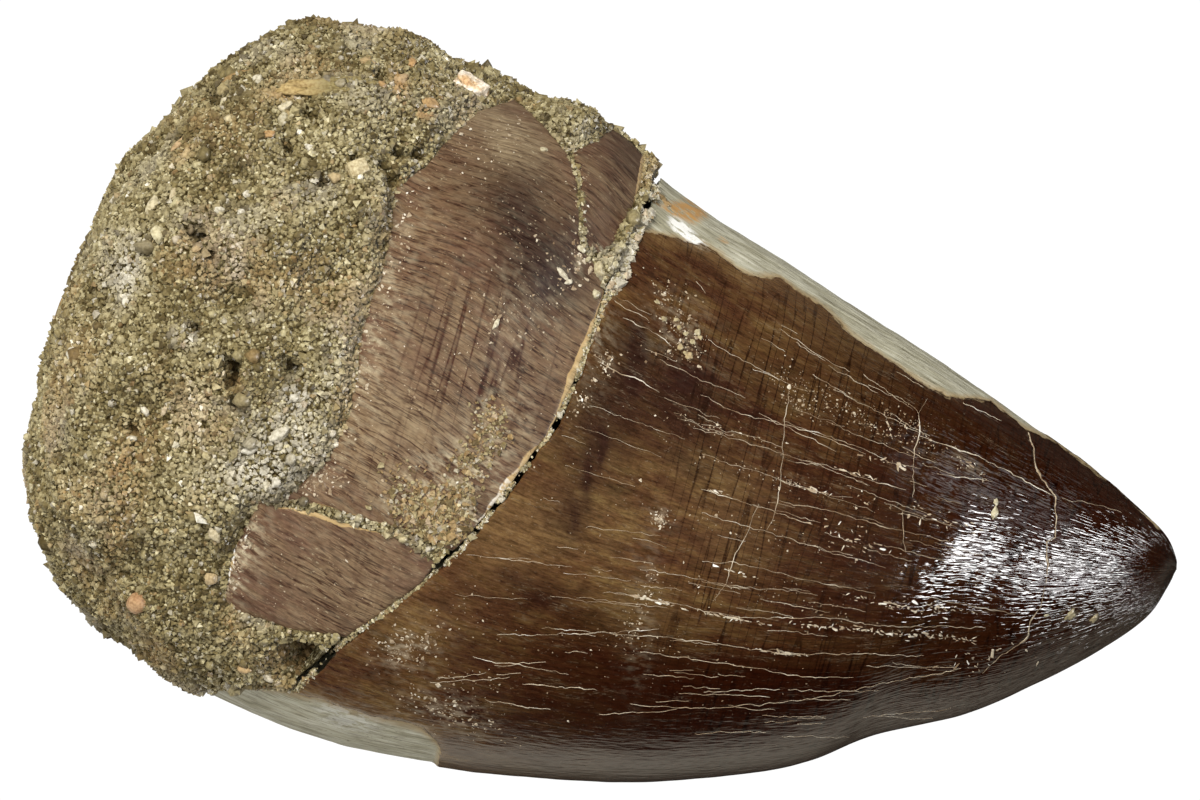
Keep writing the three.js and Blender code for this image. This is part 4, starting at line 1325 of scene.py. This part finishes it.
# %% Calcite material
CALCITE_GRIT = 0.12
calcite, add = new_material("calcite")
place = add("TexCoord", output="Object")
grit = add("TexNoise", {0: place, "Scale": 1 / (CALCITE_GRIT * MM), "Detail": 3})
tone = add("Attribute", output="Fac", attribute_name="tone")
whiteness = add("Math", [grit, 0.5, tone], operation="MULTIPLY_ADD")
stops = [(0.2, "#69543c"), (0.45, "#938066"), (0.7, "#bdb19a"), (1, "#e2dfd6")]
relief = add("Bump", {"Strength": 0.5, "Distance": 0.02 * MM, "Height": grit})
finish_surface(add, {
    "Base Color": add("ValToRGB", [whiteness], stops=stops), "Roughness": 0.5,
    "Normal": relief, "IOR": 1.6, "Specular IOR Level": 0.3,
})

# %% Where the cracks run: corners as x, y
CRACKS = [
    [(3.3, 3.7), (5.1, 3.3), (7.5, 3.3), (9.8, 3.4), (11.1, 3.2), (12.8, 2.9), (14.3, 3)],
    [(3.7, 2.4), (6, 2.4), (7.7, 2.3)], [(4.1, 1), (6, 0.9), (8.7, 0.7), (10.8, 0.7), (11.5, 0.9)],
    [(8.1, 1.7), (9.9, 2), (11.4, 1.9), (13.9, 1.8)], [(4.5, -0.6), (7.3, -0.7), (10, -0.9)],
    [(8.2, -0.2), (10.9, 0), (13.5, -0.1), (17, 0)],
    [(4.8, -1.7), (7.9, -1.8), (11.5, -1.9), (13.9, -2)],
    [(5.4, -3.9), (6.7, -3.6), (10, -3.5), (12.6, -3.3), (13.7, -3.2)],
    [(5.6, -4.8), (8.6, -4.4), (11.1, -4)], [(7.8, 4.2), (10.3, 4)],
    [(10.9, 6.2), (13, 5.9), (13.6, 5.5)], [(13.9, 4.5), (16.9, 4.3), (19.1, 3.8), (20.9, 3.35)],
    [(21.3, 3.4), (22, 3.5), (24.3, 3.5)], [(15.1, 3), (17.8, 3.3)], [(15.4, 1.9), (16.6, 1.9)],
    [(13.8, 0.7), (16.5, 0.8)], [(2.7, -5), (5.4, -4.8), (7.5, -4.7)],
    [(1.8, -6.4), (4.6, -6.2), (7.8, -6), (11.7, -5), (14.4, -4.7), (19.3, -3.5)],
    [(-1.1, -8.9), (1.7, -8.4), (6.1, -7.6), (10.6, -7.1), (14.3, -6.1), (16.8, -5.6)],
    [(3.7, -8.8), (7.9, -8.3), (11.8, -7.9), (13.8, -7.4)],
    [(-3.9, -11.1), (-0.4, -10.8), (0.7, -10.7)], [(-1.3, -11.7), (2.2, -11.1)],
    [(4.1, -9.8), (6.5, -9.4)], [(-2.8, -13), (0.3, -12.6)],
    [(3.9, -11.4), (7.4, -10.6), (11.7, -9.1), (14.9, -7.5), (18.7, -5.7)],
    [(-1.2, 6.2), (0.5, 6), (1.4, 5.6)], [(-1.8, 3.9), (0.1, 3.6), (1.4, 3.3)],
    [(6.1, 7.6), (8.7, 6.8), (9.9, 6.6)], [(0.2, 5.1), (1.8, 4.9)], [(1.7, 8.8), (2.3, 8.4)],
    [(7.3, 5.2), (7.5, 3.3), (8.1, 0.4), (8.1, -1), (8, -1.7)],
    [(7.3, -0.6), (7, -2.7), (6.7, -4.1), (6.8, -4.6), (6.4, -5.6)], [(14, 0.8), (14.6, -1)],
    [(13.8, 6.3), (13.6, 5.5), (13.9, 4.5), (13.8, 3.8), (14.3, 1.6)],
]
CRACK_WIDTH = 0.037
THINNEST = 0.008  # least half width
CRACK_STEP = 0.1
SHORT_CRACKS = 110  # more of them, too short to list


def vein(path, width, chance, wander=0.055):
    """Plan points of one crack: its middle, the direction across it and its half width."""
    path = np.array(path, float)
    distance = distance_along(path)
    at = np.linspace(0, distance[-1], max(4, int(distance[-1] / CRACK_STEP)))
    line = points_along(path, distance, at)
    ahead = np.gradient(line, axis=0)
    across = np.stack([-ahead[:, 1], ahead[:, 0]], -1)
    across /= np.linalg.norm(across, axis=1, keepdims=True)
    steps = np.stack([at + 90 * chance.random(), at * 0, at * 0], -1)
    sway = rough(steps, 1.4, 91, 2) + lumps(steps, 0.45, 92) + 0.8 * lumps(steps, 0.22, 90)
    ends = np.minimum(1, np.minimum(at, distance[-1] - at) / 0.7)
    swell = np.clip(0.6 + 0.5 * rough(steps, 0.8, 93) + 0.4 * lumps(steps, 3.0, 99), 0.38, 1.6)
    half = np.maximum(0.5 * width * swell * np.sqrt(ends), THINNEST)
    return line + wander * across * sway[:, None], across, half


def vein_mesh(middle, across, half, surface):
    """A closed vein with four sides, laid on a surface that is a function of x, y and height."""
    # Left side, crest, right side and root: the share of the half width, and the height.
    sides = ((-1, 0.004), (0, 0.016), (1, 0.004), (0, -0.05))
    rows = [surface(*(middle + side * across * half[:, None]).T, up) for side, up in sides]
    points = np.stack(rows, 1)
    last = 4 * len(points) - 4
    ends = np.array([[3, 2, 1, 0], [last, last + 1, last + 2, last + 3]])
    return points.reshape(-1, 3), np.vstack([grid_faces(len(points), 4, True), ends])


def joined(parts):
    """Several meshes as one."""
    points, faces, shift = [], [], 0
    for part_points, part_faces in parts:
        points.append(part_points)
        faces.append(part_faces + shift)
        shift += len(part_points)
    return np.vstack(points), np.vstack(faces)


def on_enamel(x, y, from_break, margin, least_up):
    """Where places seen from above lie on the crown's enamel, off its bounds and not too steep."""
    points, normals, _ = seat(x, y)
    clear = (x > break_x(y, True) + from_break) & (bare_depth(points, normals) < -margin)
    return clear & (normals[:, 2] > least_up)


# Share of the way down the tip crack, and how full it is there.
TIP_FILLING = [
    (0, 0.9), (0.3, 0.7), (0.5, 1), (0.55, 0.3), (0.7, 0.25), (0.74, 1.2), (0.8, 1.4), (0.84, 0.5),
    (0.9, 0.2), (0.93, 0.5), (1, 0.2),
]

# %% Build the cracks
chance = np.random.default_rng(404)
paths = [(path, CRACK_WIDTH * chance.uniform(0.7, 1.3)) for path in CRACKS]
for _ in range(SHORT_CRACKS):
    start = np.array([chance.uniform(-6, 16), chance.uniform(-13, 8)])
    turn = math.radians(chance.normal(-1.7 * (start[1] + 1.5), 2.5))
    long = chance.uniform(0.8, 4.8)
    end = start + long * np.array([math.cos(turn), math.sin(turn)])
    paths.append(([tuple(start), tuple(end)], CRACK_WIDTH * chance.uniform(0.4, 0.8)))
veins, whiteness = [], []
for path, width in paths:
    middle, across, half = vein(path, width, chance)
    run = np.flatnonzero(on_enamel(*middle.T, from_break=0.2, margin=0.15, least_up=0.25))
    if len(run) < 5:
        continue
    middle, across, half = (values[run[0] : run[-1] + 1] for values in (middle, across, half))
    veins.append(vein_mesh(middle, across, half, crown_over))
    change = rough(flat(*middle.T), 0.8, 94)
    whiteness.append(np.repeat(0.25 + 0.25 * change + 6 * half, 4))
points, faces = joined(veins)
make_piece(
    "crown_cracks", points, [faces], calcite, {"tone": np.concatenate(whiteness)}
)
# The crack across the tip is wider: full of tan calcite in its upper half, almost empty below
# that, with a lump near its lower end.
middle, across, half = vein(TIP_CRACK, 0.15, chance, 0.05)
filled = np.interp(np.linspace(0, 1, len(half)), *np.array(TIP_FILLING).T)
filled = filled * chance.uniform(0.6, 1.3, len(half))
points, faces = vein_mesh(middle, across, half * filled, lambda x, y, h: crown_over(x, y, h + 0.02))
tone = 0.1 + 0.2 * np.repeat(filled, 4) + 0.15 * rough(points, 0.7, 95)
make_piece("tip_crack_filling", points, [faces], calcite, {"tone": tone})

# %% [markdown]
# ## Specks
#
# Bits of calcite and shell still stick to the enamel in splashes. They are flat grains, longer
# than wide, and they follow the growth of the tooth. The long white ones along the cracks are
# painted glints on the crack lips.

# %% Specks on the enamel
# Splashes as x, y, half length, half width, heading, number of specks, radius in mm.
CROWN_SPLASHES = [
    (1.2, 6.9, 1.1, 0.5, -50, 130, 0.03), (1.9, 5.7, 0.6, 0.6, 0, 90, 0.03),
    (3, -2.5, 0.3, 0.2, 0, 60, 0.035), (0.6, 7.8, 0.25, 0.2, 0, 20, 0.03),
    (3.3, -5.6, 0.25, 0.6, 10, 40, 0.03), (3, -8.2, 0.4, 0.8, 10, 70, 0.03),
    (-7, -11.5, 0.8, 0.5, 30, 160, 0.035), (-4.3, -14, 1.5, 0.4, -5, 180, 0.035),
    (7.7, 4.6, 0.9, 0.25, -20, 90, 0.025), (9.6, 5, 1.9, 0.35, -14, 180, 0.025),
    (13.6, 4.7, 1, 0.35, -20, 110, 0.025), (11.5, 4.4, 1.2, 0.2, -10, 70, 0.025),
    (-1.4, 3.9, 0.3, 0.35, 0, 50, 0.04), (-2, 2, 0.2, 0.6, -15, 40, 0.035),
    (5, 2.3, 1.6, 0.15, 0, 50, 0.025), (9, 0.8, 3.5, 0.3, 0, 90, 0.022),
    (8, -2, 4, 0.4, 0, 80, 0.022), (9, -5, 5, 0.5, 4, 110, 0.022), (3, -8.6, 4, 0.5, 8, 70, 0.022),
    (0, 0, 2.2, 3, 0, 40, 0.022), (6, -10, 4, 1, 14, 40, 0.02),
    (-5, -9.4, 1.4, 0.8, 30, 40, 0.025), (-3.5, -12.6, 1.2, 0.6, 8, 60, 0.025),
]
# Painted glints on the lips of the cracks: long, thin white specks.
CROWN_GLINT_SPECKS = [
    (16.6, 3.7, 0.7, 0.2, -10, 22, 0.03), (15, -4.9, 1.4, 0.08, 8, 60, 0.03),
    (17.6, -4.4, 0.8, 0.07, 8, 34, 0.03), (14.6, -3.6, 1.2, 0.09, 2, 50, 0.03),
    (17, -3.1, 0.9, 0.08, 4, 40, 0.03), (12.6, -5.3, 1.2, 0.06, 8, 34, 0.03),
    (7.1, -4, 0.5, 0.05, 0, 14, 0.03), (5.4, -0.6, 0.5, 0.05, 0, 14, 0.03),
    (9, 0.75, 1.2, 0.05, 0, 26, 0.03), (13.2, 2.9, 0.8, 0.06, 0, 20, 0.035),
    (11.2, 2, 0.8, 0.05, 0, 18, 0.035), (3.8, -6.3, 0.8, 0.05, 2, 18, 0.04),
    (7.8, -6.1, 1.2, 0.05, 4, 30, 0.04), (10.4, -7.1, 1, 0.05, 8, 22, 0.035),
    (12.4, -1, 1.4, 0.4, 0, 40, 0.035), (15.6, 0.9, 1.2, 0.25, 0, 36, 0.03),
    (19.5, -5.1, 1.2, 0.3, 25, 34, 0.035),
]
PLATE_SPLASHES = [
    (-3.7, 8.7, 0.5, 0.35, -60, 60, 0.055), (-7, 8.8, 1.5, 1.3, 0, 90, 0.025),
    (-4.6, 11.4, 0.3, 1, 10, 50, 0.035), (-9.4, 12.6, 1.6, 0.8, 40, 130, 0.03),
    (-12.4, 7, 0.35, 2, 0, 120, 0.035), (-12.3, 0.5, 0.3, 2, 0, 110, 0.035),
    (-8, 5.5, 1.8, 1.6, 0, 70, 0.025), (-5.5, 5.2, 1, 1.2, 0, 70, 0.028),
    (-9.5, 0, 2.2, 2, 0, 70, 0.022), (-15.8, -9, 0.22, 1.4, 0, 150, 0.05),
    (-12.5, -9.3, 2.2, 1.4, 0, 60, 0.022), (-13, -4.6, 0.7, 0.6, 20, 120, 0.045),
    (-6.9, 4.4, 0.25, 0.5, -20, 30, 0.045), (-4.3, 7.5, 0.5, 0.5, 0, 40, 0.04),
]
ROUNDISH, LONG = (1.1, 0.75, 0.3), (2.4, 0.6, 0.3)  # length, width and height of a speck
SMALLEST, LARGEST = 0.018, 0.15  # radius in mm


def splash(splashes, allowed, vary, furthest, chance):
    """The bits of all the splashes, as x, y and radius, where they are allowed.

    Their radii vary by that share, and none lies further out than so many half sizes.
    """
    parts = []
    for px, py, long, wide, heading, count, radius in splashes:
        c, s = math.cos(math.radians(heading)), math.sin(math.radians(heading))
        away = np.clip(chance.normal(size=(2, count)), -furthest, furthest)
        ahead, aside = away * [[long], [wide]]
        x, y = px + ahead * c - aside * s, py + ahead * s + aside * c
        x, y = x[allowed(x, y)], y[allowed(x, y)]
        parts.append((x, y, radius * np.exp(vary * chance.normal(size=len(x)))))
    return map(np.concatenate, zip(*parts))


def specks(name, splashes, surface, allowed, shape, tone, chance):
    """One piece with the specks of all the splashes, in about that tone."""
    x, y, size = splash(splashes, allowed, 0.45, np.inf, chance)
    tone = np.clip(tone + 0.16 * chance.normal(size=len(size)), 0, 0.8)
    size = np.clip(size, SMALLEST, LARGEST)
    spots, facing = surface(x, y, 0), seat(x, y)[1]
    grain_piece(name, spots, facing, size, shape, calcite, chance, {"tone": tone})


def on_crown(x, y):
    return on_enamel(x, y, from_break=0.1, margin=0.1, least_up=0.2)


def on_plate(x, y):
    return plate_distance(x, y) < -0.1


chance = np.random.default_rng(505)
specks("crown_specks", CROWN_SPLASHES, crown_over, on_crown, ROUNDISH, 0.22, chance)
specks("crown_glint_specks", CROWN_GLINT_SPECKS, crown_over, on_crown, LONG, 0.35, chance)
specks("plate_specks", PLATE_SPLASHES, plate_over, on_plate, ROUNDISH, 0.22, chance)

# %% Crust of sand on the base plate
# As the splashes above.
CRUSTS = [
    (-7.4, -4.9, 1, 0.65, 20, 640, 0.075), (-6.3, -2.4, 0.5, 1, -10, 240, 0.065),
    (-5.9, -0.2, 0.4, 0.6, 30, 150, 0.06), (-6.6, -6.1, 0.9, 0.25, 20, 170, 0.085),
    (-8.9, -4.2, 0.8, 0.7, 0, 120, 0.055),
]
x, y, size = splash(CRUSTS, lambda x, y: x < np.inf, 0.3, 1.9, chance)
good = plate_distance(x, y) < -0.05
x, y, size = x[good], y[good], size[good]
spots, facing = plate_over(x, y, 0.4 * size), seat(x, y)[1]
grain_piece(
    "plate_crust", spots, facing, size, (1, 0.9, 0.6), sand, chance,
    {
        "tone": np.clip(0.28 + 0.25 * chance.normal(size=len(x)), 0, 1),
        "pale": np.where(chance.random(len(x)) < 0.15, 0.6, 0.0),
        "rust": np.where(chance.random(len(x)) < 0.35, 0.5, 0.1),
    },
)

# %% [markdown]
# ## Chips of shell and pebbles
#
# Five larger bodies sit in the sand: three bits of shell, built in thin layers, and two
# pebbles. Each starts as a ball of the size and place of its solid. A layer of shell ends in a
# small step, so the height of the ball is rounded to steps, and a low noise wears it down.

# %% Shell and pebble materials


def layered(name, places, codes, dull, layers, fade=None):
    """Shell or pebble, with colours at places on its ramp, and so many layers in a millimetre.

    It fades along its length from one x to another to a colour, where fade says so.
    """
    material, add = new_material(name)
    place = add("Attribute", output="Vector", attribute_name="grain")
    stretched = add("Mapping", {0: place, "Scale": (0.6, 0.6, layers)})
    banding = add("TexNoise", {0: stretched, "Scale": 1, "Detail": 5})
    grit = add("TexNoise", {0: place, "Scale": 7, "Detail": 4})
    over = [(0.7, (grit, [(0.35, "#a8977c"), (0.6, "#ffffff")]), "MULTIPLY")]
    if fade:
        start, end, code = fade
        along = add("Math", [grit, 1.5, add("SeparateXYZ", [place])], operation="MULTIPLY_ADD")
        over.insert(0, (add("MapRange", [along, start, end]), code, "MIX"))
    colour = painted(add, (banding, list(zip(places, codes))), over)
    relief = add("Bump", {"Strength": 0.6, "Distance": 0.03 * MM, "Height": grit})
    finish_surface(add, {"Base Color": colour, "Roughness": dull, "Normal": relief, "IOR": 1.6})
    return material


EVEN = (0.3, 0.45, 0.6, 0.75)
orange_shell = layered(
    "orange_shell", (0.3, 0.43, 0.52, 0.7), ("#bd8550", "#dcb98c", "#ecdfca", "#f2eadc"), 0.45, 2
)
strip_shell = layered(
    "strip_shell", EVEN, ("#8c774c", "#a7905f", "#bfab7d", "#cfc09a"), 0.6, 3,
    (-0.9, 0.5, "#84774f"),
)
tan_shell = layered("tan_shell", EVEN, ("#7d6438", "#947a4c", "#ab9468", "#c7b48c"), 0.6, 4)
tan_pebble = layered("tan_pebble", EVEN, ("#8e6d4c", "#a8845f", "#b99a72", "#c9b08c"), 0.55, 1)
beige_pebble = layered("beige_pebble", EVEN, ("#a3956f", "#b8aa84", "#c8bb97", "#d6ccac"), 0.6, 1)

# %% Build the chips and pebbles
# Name: node, slot, material, place, half sizes, heading, sunk, boxiness, unevenness.
BODIES = {
    "orange_chip": (
        "shell_chip", "shell", orange_shell, (-11.1, 14.9), (1.0, 0.85, 0.6), -35, -0.15, 0.4, 0.2,
    ),
    "shell_layer": (
        "shell_strip", "shell", strip_shell, (-17.2, 13.0), (2.5, 0.62, 0.42), 22, 0.18, 0.3, 0.3,
    ),
    "tan_flake": (
        "edge_flake", "shell", tan_shell, (-27.0, -0.4), (1.45, 0.5, 0.4), 78, 0.1, 0.3, 0.12,
    ),
    "round_stone": (
        "round_pebble", "pebble", tan_pebble, (-19.7, -12.3), (0.62, 0.52, 0.55), 60, 0.1, 0.1, 0.05,
    ),
    "beige_stone": (
        "small_pebble", "pebble", beige_pebble, (-15.2, 9.4), (0.6, 0.5, 0.5), 40, 0.1, 0.6, 0.08,
    ),
}


def body(place, half, heading, sunk, boxy, uneven, seed):
    """A worn body: points, faces and its own coordinates in mm."""
    px, py = np.array(place)[:, None]
    foot, up = stone_over(px, py, 0)[0], seat(px, py)[1][0]
    turn = math.radians(heading)
    long = np.array([math.cos(turn), math.sin(turn), 0])
    long -= up * (long @ up)
    long /= np.linalg.norm(long)
    axes = np.array([long, np.cross(up, long), up])
    points, faces = ball(5)
    points = points / np.linalg.norm(points, axis=1, keepdims=True)
    corner = np.max(np.abs(points), axis=1, keepdims=True)
    points = points * blend(1, 0.86 / corner, boxy)
    points *= (1 + uneven * rough(points, 0.7, seed) - uneven * 0.5)[:, None]
    local = points * np.array(half)
    return foot - up * sunk + local @ axes, faces, local


for seed, (name, (node, slot, material, *shape)) in enumerate(BODIES.items(), 301):
    points, faces, local = body(*shape, seed)
    make_piece(name, points, [faces], material, {"grain": local}, [node])

# %% [markdown]
# ## Floor, light and camera
#
# The specimen lies on white. The floor glows faintly, as a light table does, which keeps its
# shadow soft; a bright band of the world round the table, which only reflections see, puts a pale
# rim on the glossy enamel where it turns away. A tall narrow lamp beyond the tip makes the streaky
# shine there, with a weak one beside it, and three broad ones light the rest evenly.

# %% Floor and world
FLOOR_HALF = 3.0  # metres
FLOOR_DROP = 0.02 * MM
GLOW = 1.05
floor_white, add = new_material("light_table")
finish_surface(add, {
    "Base Color": (0, 0, 0, 1), "Roughness": 1, "Specular IOR Level": 0,
    "Emission Color": (1, 1, 1, 1), "Emission Strength": GLOW,
})
floor_mesh = bpy.data.meshes.new("floor")
corners = [(-1, -1), (1, -1), (1, 1), (-1, 1)]
corners = [(a * FLOOR_HALF, b * FLOOR_HALF, -FLOOR_DROP) for a, b in corners]
floor_mesh.from_pydata(corners, [], [(0, 1, 2, 3)])
floor_mesh.materials.append(floor_white)
floor = bpy.data.objects.new("floor", floor_mesh)
bpy.context.scene.collection.objects.link(floor)
floor.visible_glossy = False

world = bpy.data.worlds.new("studio")
world.use_nodes = True
# The room is dark above and bright round the table, and the table is darker close to the
# object. Only reflections see this, since the floor covers it for the rest.
add = partial(add_node, world.node_tree)
direction = add("SeparateXYZ", [add("TexCoord", output="Generated")]).node.outputs
stops = [
    (0, "#2c2924"), (0.06, "#5a564c"), (0.12, "#c8c1ae"), (0.19, "#fff6e2"), (0.3, "#f2ead6"),
    (0.36, "#403d38"), (0.5, "#161616"), (1, "#0c0c0c"),
]
height = add("MapRange", [direction["Z"], -1, 1])
# The side towards the worn strip and the end beyond the tip are in the shade.
room = painted(add, (height, stops), [
    (1, add("MapRange", [direction["Y"], -0.35, 0.25, 1, 0.12]), "MULTIPLY"),
    (1, add("MapRange", [direction["X"], 0.2, 0.8, 1, 0.4]), "MULTIPLY"),
])
world.node_tree.links.new(room, world.node_tree.nodes["Background"].inputs["Color"])
bpy.context.scene.world = world
bpy.context.scene.view_settings.view_transform = "Standard"


# %% Lamps


def lamp(name, direction, distance, size, power, aim=(0.0, 0.0, AXIS_HEIGHT), roll=None):
    """A soft box at a distance in mm from the aim point. One with a roll is seen only in shine."""
    direction = np.array(direction, float)
    direction /= np.linalg.norm(direction)
    data = bpy.data.lights.new(name, "AREA")
    data.shape = "RECTANGLE"
    data.size, data.size_y = size[0] * MM, size[1] * MM
    data.energy = power
    box_area = size[0] * size[1] * MM * MM
    print(f"{name} lamp: radiance {power / math.pi / box_area:.1f}")
    box = bpy.data.objects.new(name, data)
    box.location = [float(v) for v in (np.array(aim) + direction * distance) * MM]
    facing = Vector(direction).to_track_quat("Z", "Y")
    box.rotation_euler = (facing @ Quaternion((0, 0, 1), math.radians(roll or 0))).to_euler()
    box.visible_camera = False
    box.visible_glossy = roll is not None
    box.visible_diffuse = roll is None
    bpy.context.scene.collection.objects.link(box)


SHINY_PLACE = (19.0, 0.0, 16.0)  # on the upper side of the crown, near the tip
SHINE_ROLL = 26  # degrees
lamp("shine", (0.89, 0.1, 0.43), 420, (85, 240), 2.1, SHINY_PLACE, SHINE_ROLL)
lamp("side shine", (0.68, 0.68, 0.42), 420, (130, 120), 0.09, SHINY_PLACE, SHINE_ROLL)
lamp("key", (-0.45, 0.5, 1.0), 500, (260, 260), 4.1)
lamp("front", (-0.4, -0.75, 0.7), 500, (400, 400), 1.3)
lamp("fill", (0.4, 0.1, 1.0), 500, (500, 500), 1.2)

# %% Camera
PICTURE_WIDE = 57.6  # mm across the picture at the height of the tooth's axis
PICTURE_CENTRE = (-1.23, 2.21)
PICTURE_TURN = 15.0  # degrees
LENS = 400.0
SENSOR = 36.0
camera_data = bpy.data.cameras.new("camera")
camera_data.lens = LENS
camera_data.sensor_width = SENSOR
camera_height = AXIS_HEIGHT + LENS * PICTURE_WIDE / SENSOR
camera_data.clip_end = 10.0
camera = bpy.data.objects.new("camera", camera_data)
camera.location = (PICTURE_CENTRE[0] * MM, PICTURE_CENTRE[1] * MM, camera_height * MM)
camera.rotation_euler = (0, 0, math.radians(PICTURE_TURN))
bpy.context.scene.collection.objects.link(camera)
bpy.context.scene.camera = camera
print("camera", round(camera_height), "mm over the table")
